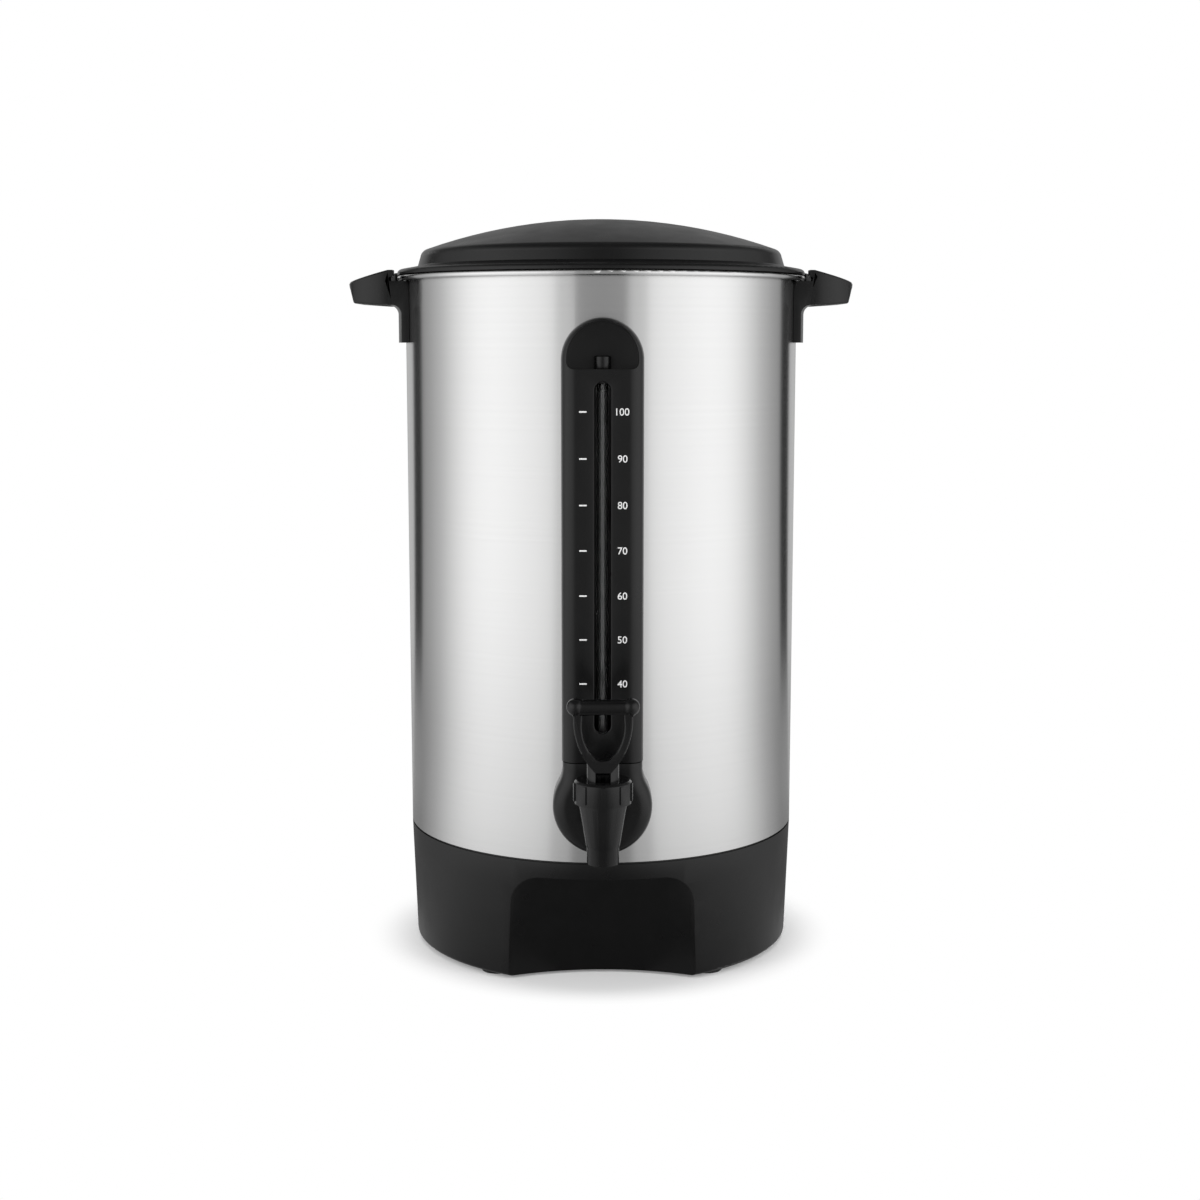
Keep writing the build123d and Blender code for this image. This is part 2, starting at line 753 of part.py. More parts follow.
block_top = plate_top_z + block_height
block_side = inlet_x + block_width / 2
supply_y = block_y + block_length / 4
wire_routes = []
for x, z in blade_spots:
    wire_routes.append([(x, inlet_back - tab_length, z), (x, supply_y, z), (x, supply_y, block_top)])
for index, (x, z) in enumerate(tab_spots):
    drop_y = block_y + wire_spacing * (0.5 - index)
    entry_z = plate_top_z + block_height / 2
    wire_routes.append([(x, switch_back - tab_length, z), (x, drop_y, z), (x, drop_y, entry_z),
                        (block_side, drop_y, entry_z)])

wires = []
for route in wire_routes:
    with BuildPart() as wire:
        with BuildLine() as path:
            FilletPolyline(*route, radius=wire_bend)
        with BuildSketch(Plane(origin=path.line @ 0, z_dir=path.line % 0)):
            Circle(wire_radius)
        sweep()
    wires.append(wire.part)

with BuildPart() as wiring:
    add(wires)
    with BuildSketch(Plane.XY.offset(block_top)):
        with Locations(*heater_ends):
            Circle(wire_radius)
    extrude(amount=spreader_z - heater_leg - block_top)
wiring.part.label = "wiring"
export_step(wiring.part, "parts/wiring.step")

# ---- Handles ----

handle_under = rim_z - handle_drop
handle_root_z = handle_under - handle_dip
root_top = rim_z - root_drop
with BuildPart() as handle_right:
    with BuildSketch(Plane.XZ) as side_view:
        with BuildLine():
            Polyline((0, handle_root_z), (grip_reach, handle_root_z),
                     (handle_end - handle_nose_slant, handle_under),
                     (handle_end, handle_under + handle_nose_height), (hook_root, rim_z + hook_rise),
                     (hook_reach, rim_z + hook_rise), (hook_reach, rim_z + hook_rise - hook_thickness),
                     (hook_root, rim_z + hook_rise - hook_thickness), (hook_root, root_top),
                     (0, root_top), close=True)
        make_face()
        fillet(side_view.vertices().filter_by(lambda v: v.X > handle_end - handle_nose_slant - 0.1),
               handle_nose_fillet)
    extrude(amount=handle_half_width, both=True)
    with BuildSketch() as plan:
        with BuildLine():
            Polyline((0, -handle_half_width), (handle_end, -handle_half_width),
                     (handle_end, handle_half_width), (0, handle_half_width), close=True)
        make_face()
        fillet(plan.vertices().group_by(Axis.X)[-1], handle_corner)
    extrude(amount=rim_z + overcut, mode=Mode.INTERSECT)
    with BuildSketch(Plane.XY.offset(rim_z - leg_drop)):
        Circle(leg_reach)
        with Locations((leg_reach, 0)):
            Rectangle(2 * leg_reach, 2 * handle_half_width, mode=Mode.INTERSECT)
    extrude(amount=leg_drop - root_drop)
    arcs = handle_right.edges().filter_by(GeomType.CIRCLE)
    bends = arcs.filter_by(lambda e: abs(e.radius - leg_reach) < 0.1)
    fillet(bends.sort_by(lambda e: abs(e.center().Z - handle_root_z))[0], leg_fillet)
    with BuildSketch(Plane.XY.offset(rim_z - leg_drop)):
        with Locations((body_radius + grip_gap_start + grip_gap_depth / 2, 0)):
            RectangleRounded(grip_gap_depth, 2 * grip_gap_half_width, grip_gap_depth / 2 - 0.1)
    extrude(amount=leg_drop + overcut, mode=Mode.SUBTRACT)
    with BuildSketch(Plane.XY.offset(root_top)):
        with Locations((hook_reach, 0)):
            Rectangle(2 * (hook_width + contact_gap), 2 * grip_gap_half_width)
    extrude(amount=leg_drop, mode=Mode.SUBTRACT)
    with BuildSketch():
        Circle(body_radius + contact_gap)
    extrude(amount=rim_z + overcut, mode=Mode.SUBTRACT)
    with BuildSketch(Plane.YZ.offset(handle_screw_seat)):
        with Locations((-handle_screw_y, handle_screw_z), (handle_screw_y, handle_screw_z)):
            Circle(screw_radius + pin_clearance)
    extrude(amount=handle_screw_end - handle_screw_seat + fit_clearance, mode=Mode.SUBTRACT)
handle_right.part.label = "handle_right"
export_step(handle_right.part, "parts/handle_right.step")

with BuildPart() as handle_left:
    add(mirror(handle_right.part, about=Plane.YZ))
handle_left.part.label = "handle_left"
export_step(handle_left.part, "parts/handle_left.step")

with BuildPart() as handle_screws:
    with BuildSketch(Plane.YZ.offset(handle_screw_seat)):
        with Locations((-handle_screw_y, handle_screw_z), (handle_screw_y, handle_screw_z)):
            Circle(screw_radius)
    extrude(amount=handle_screw_end - handle_screw_seat)
    with BuildSketch(Plane.YZ.offset(handle_screw_seat)):
        with Locations((-handle_screw_y, handle_screw_z), (handle_screw_y, handle_screw_z)):
            Circle(screw_head_radius)
    extrude(amount=-screw_head_height)
    mirror(about=Plane.YZ)
handle_screws.part.label = "handle_screws"
export_step(handle_screws.part, "parts/handle_screws.step")

# ---- Lid ----


def dome_z(radius, drop):
    # height of the lid's dome at a radius, for a surface that lies a drop inside the outer one
    return lid_top_z - lid_dome + sqrt((lid_dome - drop) ** 2 - radius**2)


lid_seat_z = rim_z + lid_gap
flange_top = lid_seat_z + flange_height
wall_foot = lid_shoulder + shoulder_reach + wall_lean
shoulder_z = dome_z(lid_shoulder, 0) - shoulder_drop
plug_radius = tank_radius - plug_clearance
inner_shoulder = lid_shoulder - lid_wall / 2
with BuildPart() as lid:
    with BuildSketch(Plane.XZ):
        with BuildLine():
            ThreePointArc((0, lid_top_z), (lid_shoulder / 2, dome_z(lid_shoulder / 2, 0)),
                          (lid_shoulder, dome_z(lid_shoulder, 0)))
            ThreePointArc((lid_shoulder, dome_z(lid_shoulder, 0)),
                          (lid_shoulder + 0.68 * shoulder_reach, shoulder_z + 0.6 * shoulder_drop),
                          (lid_shoulder + shoulder_reach, shoulder_z))
            Polyline((lid_shoulder + shoulder_reach, shoulder_z), (wall_foot, flange_top + flange_rise),
                     (wall_foot + wall_foot_step, flange_top + flange_rise - wall_foot_drop),
                     (flange_radius - flange_edge, flange_top))
            ThreePointArc((flange_radius - flange_edge, flange_top),
                          (flange_radius - 0.3 * flange_edge, flange_top - 0.4 * flange_edge),
                          (flange_radius, flange_top - 1.1 * flange_edge))
            Polyline((flange_radius, flange_top - 1.1 * flange_edge), (flange_radius, lid_seat_z),
                     (plug_radius, lid_seat_z), (plug_radius, lid_seat_z - plug_depth),
                     (plug_radius - plug_wall, lid_seat_z - plug_depth),
                     (plug_radius - plug_wall, flange_top - lid_wall / 4),
                     (wall_foot - lid_wall, flange_top + flange_rise - 0.75 * lid_wall),
                     (lid_shoulder + shoulder_reach - lid_wall, shoulder_z),
                     (inner_shoulder, dome_z(inner_shoulder, lid_wall)))
            ThreePointArc((inner_shoulder, dome_z(inner_shoulder, lid_wall)),
                          (inner_shoulder / 2, dome_z(inner_shoulder / 2, lid_wall)),
                          (0, lid_top_z - lid_wall))
            Line((0, lid_top_z - lid_wall), (0, lid_top_z))
        make_face()
    revolve(axis=Axis.Z)
lid.part.label = "lid"
export_step(lid.part, "parts/lid.step")

# ---- Level gauge ----

inner_front = cover_front - cover_wall
glass_bottom = tap_z + gauge_boss_rise - bottom_seal_length + glass_inset
glass_top = hood_floor_z - hood_floor - glass_inset
top_seal_z = hood_floor_z - hood_floor - top_seal_length
seal_radius = glass_radius + seal_wall
gauge_spot = (0, -gauge_y)

with BuildPart() as sight_glass:
    with BuildSketch(Plane.XY.offset(glass_bottom)):
        with Locations(gauge_spot):
            ring(glass_radius, glass_radius - glass_wall)
    extrude(amount=glass_top - glass_bottom)
sight_glass.part.label = "sight_glass"
export_step(sight_glass.part, "parts/sight_glass.step")

with BuildPart() as gauge_seal_top:
    with BuildSketch(Plane.XY.offset(top_seal_z)):
        with Locations(gauge_spot):
            Circle(seal_radius)
    extrude(amount=top_seal_length)
    with BuildSketch(Plane.XY.offset(top_seal_z)):
        with Locations(gauge_spot):
            Circle(glass_radius)
    extrude(amount=glass_top - top_seal_z, mode=Mode.SUBTRACT)
    with BuildSketch(Plane.XY.offset(top_seal_z)):
        with Locations(gauge_spot):
            Circle(cap_stem_radius + slide_clearance)
    extrude(amount=top_seal_length, mode=Mode.SUBTRACT)
gauge_seal_top.part.label = "gauge_seal_top"
export_step(gauge_seal_top.part, "parts/gauge_seal_top.step")

boss_top = tap_z + gauge_boss_rise
with BuildPart() as gauge_seal_bottom:
    with BuildSketch(Plane.XY.offset(boss_top - bottom_seal_length)):
        with Locations(gauge_spot):
            Circle(seal_radius)
    extrude(amount=bottom_seal_length)
    with BuildSketch(Plane.XY.offset(glass_bottom)):
        with Locations(gauge_spot):
            Circle(glass_radius)
    extrude(amount=bottom_seal_length, mode=Mode.SUBTRACT)
    with BuildSketch(Plane.XY.offset(boss_top - bottom_seal_length)):
        with Locations(gauge_spot):
            Circle(glass_radius - glass_wall)
    extrude(amount=bottom_seal_length, mode=Mode.SUBTRACT)
gauge_seal_bottom.part.label = "gauge_seal_bottom"
export_step(gauge_seal_bottom.part, "parts/gauge_seal_bottom.step")

with BuildPart() as gauge_cap:
    with BuildSketch(Plane.XY.offset(hood_floor_z + seat_gap)):
        with Locations(gauge_spot):
            Circle(cap_radius)
    extrude(amount=cap_height)
    chamfer(gauge_cap.edges().group_by(Axis.Z)[-1], cap_chamfer)
    with BuildSketch(Plane.XY.offset(hood_floor_z + seat_gap)):
        with Locations(gauge_spot):
            Circle(cap_stem_radius)
    extrude(amount=-cap_stem_length)
gauge_cap.part.label = "gauge_cap"
export_step(gauge_cap.part, "parts/gauge_cap.step")

slot_low = tap_z + slot_bottom_rise
slot_high = shield_top_z - slot_top_drop
with BuildPart() as shield_cavity:
    with BuildSketch(front_plane(hood_back)):
        with Locations((0, (shield_bottom_z + hood_floor_z - hood_floor) / 2)):
            Rectangle(2 * (shield_half_width - cover_wall), hood_floor_z - hood_floor - shield_bottom_z)
    extrude(amount=inner_front - hood_back)
    fillet(shield_cavity.faces().sort_by(Axis.Y)[0].edges().filter_by(Axis.Z), cover_flank - cover_wall)

with BuildPart() as gauge_shield:
    with BuildSketch(front_plane(cover_back)):
        with Locations((0, shield_top_z - shield_half_width)):
            Circle(shield_half_width)
        with Locations((0, (shield_top_z - shield_half_width + shield_bottom_z + cover_split) / 2)):
            Rectangle(2 * shield_half_width, shield_top_z - shield_half_width - shield_bottom_z - cover_split)
    extrude(amount=cover_front - cover_back)
    shield_rim = gauge_shield.faces().sort_by(Axis.Y)[0].edges().group_by(Axis.Z)[1:]
    fillet([edge for group in shield_rim for edge in group], cover_flank)
    add(shield_cavity.part, mode=Mode.SUBTRACT)
    with BuildSketch(front_plane(cover_back)):
        with Locations((-shield_screw_x, shield_screw_z), (shield_screw_x, shield_screw_z)):
            Circle(screw_boss_radius)
    extrude(amount=inner_front - cover_back + cover_wall / 2)
    with BuildSketch(Plane.XY.offset(hood_floor_z - hood_floor - ring_height)):
        with Locations(gauge_spot):
            ring(seal_radius + pin_clearance + ring_wall, seal_radius + pin_clearance)
    extrude(amount=ring_height + hood_floor / 2)
    with BuildSketch(front_plane(hood_back)) as hood:
        with Locations((0, hood_top_z - hood_half_width)):
            Circle(hood_half_width)
        with Locations((0, (hood_top_z - hood_half_width + hood_floor_z) / 2)):
            Rectangle(2 * hood_half_width, hood_top_z - hood_half_width - hood_floor_z)
        with Locations((0, hood_floor_z - hood_half_width)):
            Rectangle(4 * hood_half_width, 2 * hood_half_width, mode=Mode.SUBTRACT)
        fillet(hood.vertices().group_by(Axis.Y)[0], hood_corner)
    extrude(amount=cover_front - hood_back, mode=Mode.SUBTRACT)
    with BuildSketch(front_plane(gauge_y)):
        with Locations((0, (slot_low + slot_high) / 2)):
            SlotOverall(slot_high - slot_low, slot_width, rotation=90)
    extrude(amount=cover_front - gauge_y, mode=Mode.SUBTRACT)
    with BuildSketch(Plane.XY.offset(hood_floor_z)):
        with Locations(gauge_spot):
            Circle(cap_stem_radius + slide_clearance)
    extrude(amount=-hood_floor, mode=Mode.SUBTRACT)
    with BuildSketch(front_plane(cover_back)):
        with Locations((-shield_screw_x, shield_screw_z), (shield_screw_x, shield_screw_z)):
            Circle(screw_radius + pin_clearance)
    extrude(amount=shield_screw_end - cover_back + fit_clearance, mode=Mode.SUBTRACT)
    with BuildSketch():
        Circle(body_radius + contact_gap)
    extrude(amount=rim_z + overcut, mode=Mode.SUBTRACT)
gauge_shield.part.label = "gauge_shield"
export_step(gauge_shield.part, "parts/gauge_shield.step")

with BuildPart() as shield_screws:
    with BuildSketch(front_plane(shield_screw_seat)):
        with Locations((-shield_screw_x, shield_screw_z), (shield_screw_x, shield_screw_z)):
            Circle(screw_radius)
    extrude(amount=shield_screw_end - shield_screw_seat)
    with BuildSketch(front_plane(shield_screw_seat)):
        with Locations((-shield_screw_x, shield_screw_z), (shield_screw_x, shield_screw_z)):
            Circle(screw_head_radius)
    extrude(amount=-screw_head_height)
shield_screws.part.label = "shield_screws"
export_step(shield_screws.part, "parts/shield_screws.step")

# ---- Escutcheon round the tap ----


def plate_shape(inset, front, flank):
    # round plate with a neck that carries on the gauge's outline, shrunk by an inset
    top = shield_bottom_z - cover_split + inset / 10
    with BuildPart() as shape:
        with BuildSketch(front_plane(cover_back)) as outline:
            with Locations((0, tap_z)):
                Circle(plate_radius - inset)
            with Locations((0, (tap_z + top + overcut) / 2)):
                Rectangle(2 * (plate_neck_half_width - inset), top + overcut - tap_z)
            fillet(outline.vertices().filter_by(lambda v: tap_z < v.Y < top), plate_neck_fillet)
        extrude(amount=front - cover_back)
        rim = shape.faces().sort_by(Axis.Y)[0].edges().group_by(Axis.Z)[:-1]
        fillet([edge for group in rim for edge in group], flank)
        with BuildSketch(Plane.XY.offset(top)):
            Rectangle(4 * plate_radius, 4 * cover_front)
        extrude(amount=2 * overcut, mode=Mode.SUBTRACT)
    return shape.part


with BuildPart() as escutcheon:
    add(plate_shape(0, cover_front, cover_flank - 0.4))
    add(plate_shape(cover_wall, inner_front, cover_flank - cover_wall - 0.4), mode=Mode.SUBTRACT)
    with BuildSketch(front_plane(cover_back)):
        with Locations((0, tap_z)):
            Circle(shank_radius + fit_clearance)
    extrude(amount=cover_front - cover_back, mode=Mode.SUBTRACT)
    with BuildSketch():
        Circle(body_radius + contact_gap)
    extrude(amount=rim_z, mode=Mode.SUBTRACT)
escutcheon.part.label = "escutcheon"
export_step(escutcheon.part, "parts/escutcheon.step")

# ---- Tap ----

with BuildPart() as tap_shank:
    with BuildSketch(front_plane(shank_inner_y)):
        with Locations((0, tap_z)):
            Circle(shank_radius)
    extrude(amount=shank_outer_y - shank_inner_y)
    with BuildSketch(front_plane(shank_flange_y)):
        with Locations((0, tap_z)):
            Circle(shank_flange_radius)
    extrude(amount=shank_flange_thickness)
    with BuildSketch(Plane.XY.offset(tap_z)):
        with Locations(gauge_spot):
            Circle(gauge_boss_radius)
    extrude(amount=gauge_boss_rise)
    with BuildSketch(front_plane(shank_inner_y)):
        with Locations((0, tap_z)):
            Circle(shank_bore)
    extrude(amount=shank_outer_y - shank_inner_y, mode=Mode.SUBTRACT)
    with BuildSketch(Plane.XY.offset(tap_z)):
        with Locations(gauge_spot):
            Circle(gauge_bore)
    extrude(amount=gauge_boss_rise, mode=Mode.SUBTRACT)
    with BuildSketch(Plane.XY.offset(boss_top)):
        with Locations(gauge_spot):
            Circle(seal_radius + pin_clearance)
    extrude(amount=-bottom_seal_length, mode=Mode.SUBTRACT)
tap_shank.part.label = "tap_shank"
export_step(tap_shank.part, "parts/tap_shank.step")

with BuildPart() as tap_seal_outer:
    with BuildSketch(front_plane(shank_flange_y)):
        with Locations((0, tap_z)):
            ring(shank_flange_radius, shank_radius + fit_clearance)
    extrude(amount=depth_at(body_radius, shank_flange_radius) - shank_flange_y - contact_gap)
    with BuildSketch():
        Circle(body_radius)
    extrude(amount=rim_z, mode=Mode.SUBTRACT)
tap_seal_outer.part.label = "tap_seal_outer"
export_step(tap_seal_outer.part, "parts/tap_seal_outer.step")

nut_face_y = depth_at(tank_radius, shank_flange_radius) - tap_seal_thickness
with BuildPart() as tap_seal_inner:
    with BuildSketch(front_plane(nut_face_y)):
        with Locations((0, tap_z)):
            ring(shank_flange_radius, shank_radius + fit_clearance)
    extrude(amount=tank_radius - nut_face_y)
    with BuildSketch():
        Circle(tank_radius)
    extrude(amount=rim_z, mode=Mode.INTERSECT)
tap_seal_inner.part.label = "tap_seal_inner"
export_step(tap_seal_inner.part, "parts/tap_seal_inner.step")

with BuildPart() as tap_nut:
    with BuildSketch(front_plane(nut_face_y)):
        with Locations((0, tap_z)):
            RegularPolygon(tap_nut_flats / 2, 6, major_radius=False)
            Circle(shank_radius + pin_clearance, mode=Mode.SUBTRACT)
    extrude(amount=-tap_nut_height)
tap_nut.part.label = "tap_nut"
export_step(tap_nut.part, "parts/tap_nut.step")

spout_plane = Plane(origin=(0, -tap_reach, 0), x_dir=(1, 0, 0), z_dir=(0, -1, 0))
spout_axis = Axis((0, -tap_reach, 0), (0, 0, 1))
spout_spot = (0, -tap_reach)
mouth_z = tap_z - nozzle_drop
seat_z = tap_z - seat_drop
cone_top_z = tap_z + cone_top_rise
neck_top_z = tap_z + neck_top_rise
collar_top_z = tap_z + collar_top_rise
turret_top_z = tap_z + turret_top_rise
with BuildPart() as tap_body:
    with BuildSketch(spout_plane):
        Polygon((0, mouth_z), (nozzle_radius, mouth_z), (nozzle_radius, mouth_z + nozzle_length),
                (cone_bottom_radius, mouth_z + nozzle_length + cone_step), (cone_top_radius, cone_top_z),
                (neck_radius, cone_top_z), (neck_radius, neck_top_z), (0, neck_top_z), align=None)
    revolve(axis=spout_axis)
    with BuildSketch(front_plane(shank_outer_y)):
        with Locations((0, tap_z)):
            Circle(arm_radius)
    extrude(amount=tap_reach - shank_outer_y - chamber_radius / 2)
    with BuildSketch(front_plane(shank_outer_y)):
        with Locations((0, tap_z)):
            Circle(nipple_radius)
    extrude(amount=-nipple_length)
    with BuildSketch(front_plane(shank_outer_y - nipple_length)):
        with Locations((0, tap_z)):
            Circle(nipple_bore)
    extrude(amount=tap_reach - shank_outer_y + nipple_length - chamber_radius / 2, mode=Mode.SUBTRACT)
    with BuildSketch(Plane.XY.offset(mouth_z)):
        with Locations(spout_spot):
            Circle(outlet_radius)
    extrude(amount=neck_top_z - mouth_z, mode=Mode.SUBTRACT)
    with BuildSketch(Plane.XY.offset(seat_z)):
        with Locations(spout_spot):
            Circle(chamber_radius)
    extrude(amount=neck_top_z - seat_z, mode=Mode.SUBTRACT)
tap_body.part.label = "tap_body"
export_step(tap_body.part, "parts/tap_body.step")

collar_z = cone_top_z + fit_clearance
lip_under_z = collar_top_z - collar_lip
with BuildPart() as tap_collar:
    with BuildSketch(Plane.XY.offset(collar_z)):
        with Locations(spout_spot):
            Circle(collar_radius)
    extrude(amount=collar_top_z - collar_z)
    chamfer(tap_collar.edges().group_by(Axis.Z)[-1], collar_chamfer)
    with BuildSketch(Plane.XY.offset(collar_z + rib_drop)):
        with Locations(spout_spot):
            with PolarLocations((neck_radius + rib_radius) / 2, rib_count, start_angle=-90):
                Rectangle(rib_radius - neck_radius, rib_width)
    extrude(amount=collar_top_z - collar_z - 2 * rib_drop)
    with BuildSketch(Plane.XY.offset(collar_z)):
        with Locations(spout_spot):
            Circle(neck_radius + fit_clearance)
    extrude(amount=lip_under_z - collar_z, mode=Mode.SUBTRACT)
    with BuildSketch(Plane.XY.offset(collar_z)):
        with Locations(spout_spot):
            Circle(turret_radius + fit_clearance)
    extrude(amount=collar_top_z - collar_z, mode=Mode.SUBTRACT)
tap_collar.part.label = "tap_collar"
export_step(tap_collar.part, "parts/tap_collar.step")

slot_floor_z = neck_top_z + turret_floor
pin_z = slot_floor_z + pin_rise
with BuildPart() as tap_turret:
    with BuildSketch(Plane.XY.offset(neck_top_z)):
        with Locations(spout_spot):
            Circle(turret_radius)
    extrude(amount=turret_top_z - neck_top_z)
    with BuildSketch(Plane.XY.offset(neck_top_z)):
        with Locations(spout_spot):
            Circle(turret_flange_radius)
    extrude(amount=turret_flange_height)
    with BuildSketch(Plane.XY.offset(slot_floor_z)):
        with Locations((0, -tap_reach + turret_slot_back - turret_flange_radius)):
            Rectangle(turret_slot_width, 2 * turret_flange_radius)
    extrude(amount=turret_top_z - slot_floor_z, mode=Mode.SUBTRACT)
    with BuildSketch(Plane.XY.offset(neck_top_z)):
        with Locations(spout_spot):
            Circle(sqrt(blade_depth**2 + blade_thickness**2) / 2 + fit_clearance)
    extrude(amount=turret_floor, mode=Mode.SUBTRACT)
tap_turret.part.label = "tap_turret"
export_step(tap_turret.part, "parts/tap_turret.step")

# The valve's parts move up and down together and carry the lever on the pin.
with BuildPart() as lever_pin:
    with BuildSketch(Plane.YZ):
        with Locations((-tap_reach, pin_z)):
            Circle(pin_radius)
    extrude(amount=lever_width / 2 - fit_clearance, both=True)
lever_pin.part.label = "lever_pin"
export_step(lever_pin.part, "parts/lever_pin.step")

cup_z = seat_z + seat_gap
with BuildPart() as valve_stem:
    with BuildSketch(Plane.XY.offset(cup_z + cup_height - cup_socket)):
        with Locations(spout_spot):
            Circle(stem_radius)
    extrude(amount=slot_floor_z - blade_root + stem_radius - cup_z - cup_height + cup_socket)
    with BuildSketch(Plane.XY.offset(cup_z + cup_height)):
        with Locations(spout_spot):
            Circle(spring_radius + spring_wire)
    extrude(amount=spring_seat)
    with BuildSketch(Plane.YZ):
        with Locations((-tap_reach, (slot_floor_z - blade_root + pin_z) / 2)):
            Rectangle(blade_depth, pin_rise + blade_root)
        with Locations((-tap_reach, pin_z)):
            Circle(blade_eye)
            Circle(pin_radius, mode=Mode.SUBTRACT)
    extrude(amount=blade_thickness / 2, both=True)
valve_stem.part.label = "valve_stem"
export_step(valve_stem.part, "parts/valve_stem.step")

with BuildPart() as seat_cup:
    with BuildSketch(Plane.XY.offset(cup_z)):
        with Locations(spout_spot):
            Circle(cup_radius)
    extrude(amount=cup_height)
    chamfer(seat_cup.edges().group_by(Axis.Z)[-1], cup_chamfer)
    with BuildSketch(Plane.XY.offset(cup_z + cup_height)):
        with Locations(spout_spot):
            Circle(stem_radius)
    extrude(amount=-cup_socket, mode=Mode.SUBTRACT)
seat_cup.part.label = "seat_cup"
export_step(seat_cup.part, "parts/seat_cup.step")

spring_low = cup_z + cup_height + spring_seat + spring_wire + fit_clearance
spring_high = neck_top_z - spring_wire - fit_clearance
with BuildPart() as tap_spring:
    with BuildLine() as coil:
        Helix(pitch=(spring_high - spring_low) / spring_turns, height=spring_high - spring_low,
              radius=spring_radius, center=(0, -tap_reach, spring_low))
    with BuildSketch(Plane(origin=coil.line @ 0, z_dir=coil.line % 0)):
        Circle(spring_wire)
    sweep()
tap_spring.part.label = "tap_spring"
export_step(tap_spring.part, "parts/tap_spring.step")

fork_neck_z = tap_z + fork_neck_rise
fork_shoulder_z = tap_z + fork_shoulder_rise
fork_inner_z = tap_z + fork_inner_rise
bar_z = tap_z + bar_rise
fork_y = tap_reach + lever_front
fork_inner_half = fork_half_width - fork_arm
heel_z = slot_floor_z + lever_gap
fork_bow = (0.82 * fork_half_width, fork_neck_z + 0.48 * (fork_shoulder_z - fork_neck_z))
inner_bow = (0.84 * fork_inner_half, fork_inner_z + 0.42 * (fork_shoulder_z - fork_inner_z))
inner_turn = (0.36 * fork_inner_half, fork_inner_z + 0.05 * (fork_shoulder_z - fork_inner_z))
with BuildPart() as tap_lever:
    with BuildSketch(front_plane(fork_y)):
        with BuildLine():
            Polyline((-fork_half_width, fork_shoulder_z), (-fork_half_width, bar_z), (fork_half_width, bar_z),
                     (fork_half_width, fork_shoulder_z))
            ThreePointArc((fork_half_width, fork_shoulder_z), fork_bow, (fork_neck_width / 2, fork_neck_z))
            Line((fork_neck_width / 2, fork_neck_z), (-fork_neck_width / 2, fork_neck_z))
            ThreePointArc((-fork_neck_width / 2, fork_neck_z), (-fork_bow[0], fork_bow[1]),
                          (-fork_half_width, fork_shoulder_z))
        make_face()
        with BuildLine():
            Polyline((-fork_inner_half, fork_shoulder_z), (-fork_inner_half, bar_z - bar_radius),
                     (fork_inner_half, bar_z - bar_radius), (fork_inner_half, fork_shoulder_z))
            ThreePointArc((fork_inner_half, fork_shoulder_z), inner_bow, inner_turn)
            ThreePointArc(inner_turn, (0, fork_inner_z), (-inner_turn[0], inner_turn[1]))
            ThreePointArc((-inner_turn[0], inner_turn[1]), (-inner_bow[0], inner_bow[1]),
                          (-fork_inner_half, fork_shoulder_z))
        make_face(mode=Mode.SUBTRACT)
    extrude(amount=lever_thickness / 2, both=True)
    with BuildSketch(Plane.YZ):
        with Locations((-tap_reach, pin_z)):
            Circle(lever_heel - lever_gap)
        Polygon((-tap_reach - lever_toe, heel_z), (-tap_reach, heel_z), (-tap_reach, pin_z + blade_slot_rise),
                (-fork_y - lever_thickness / 2, fork_inner_z - lever_gap),
                (-fork_y - lever_thickness / 2, fork_neck_z),
                (-fork_y + lever_thickness / 2, fork_neck_z - lever_toe_drop),
                (-tap_reach - lever_toe, fork_neck_z - lever_toe_drop), align=None)
    extrude(amount=lever_width / 2, both=True)
    with BuildSketch(Plane.YZ):
        with Locations((-fork_y, bar_z)):
            Circle(bar_radius)
    extrude(amount=knob_reach - knob_radius, both=True)
    with Locations((-knob_reach + knob_radius, -fork_y, bar_z), (knob_reach - knob_radius, -fork_y, bar_z)):
        Sphere(knob_radius)
    with BuildSketch(Plane.YZ):
        with Locations((-tap_reach, pin_z)):
            Circle(pin_radius + pin_clearance)
    extrude(amount=lever_width, both=True, mode=Mode.SUBTRACT)
    with BuildSketch(Plane.YZ):
        with Locations((-tap_reach, pin_z + blade_slot_rise - lever_heel - lever_gap)):
            Rectangle(2 * (lever_toe + lever_gap), 2 * lever_heel)
    extrude(amount=blade_thickness / 2 + blade_clearance, both=True, mode=Mode.SUBTRACT)
tap_lever.part.label = "tap_lever"
export_step(tap_lever.part, "parts/tap_lever.step")

# ---- Percolator ----

stem_tube_top = rim_z - stem_tube_top_drop
basket_top_z = rim_z - basket_top_drop
basket_floor_z = basket_top_z - basket_height
with BuildPart() as percolator_tube:
    with BuildSketch(Plane.XY.offset(well_z + pump_height)):
        Circle(stem_tube_radius)
    extrude(amount=stem_tube_top - well_z - pump_height)
    with BuildSketch(Plane.XY.offset(basket_floor_z - stop_height - contact_gap)):
        Circle(stop_radius)
    extrude(amount=stop_height)
    with BuildSketch(Plane.XY.offset(well_z + pump_height)):
        Circle(stem_tube_radius - stem_tube_wall)
    extrude(amount=stem_tube_top - well_z - pump_height, mode=Mode.SUBTRACT)
percolator_tube.part.label = "percolator_tube"
export_step(percolator_tube.part, "parts/percolator_tube.step")

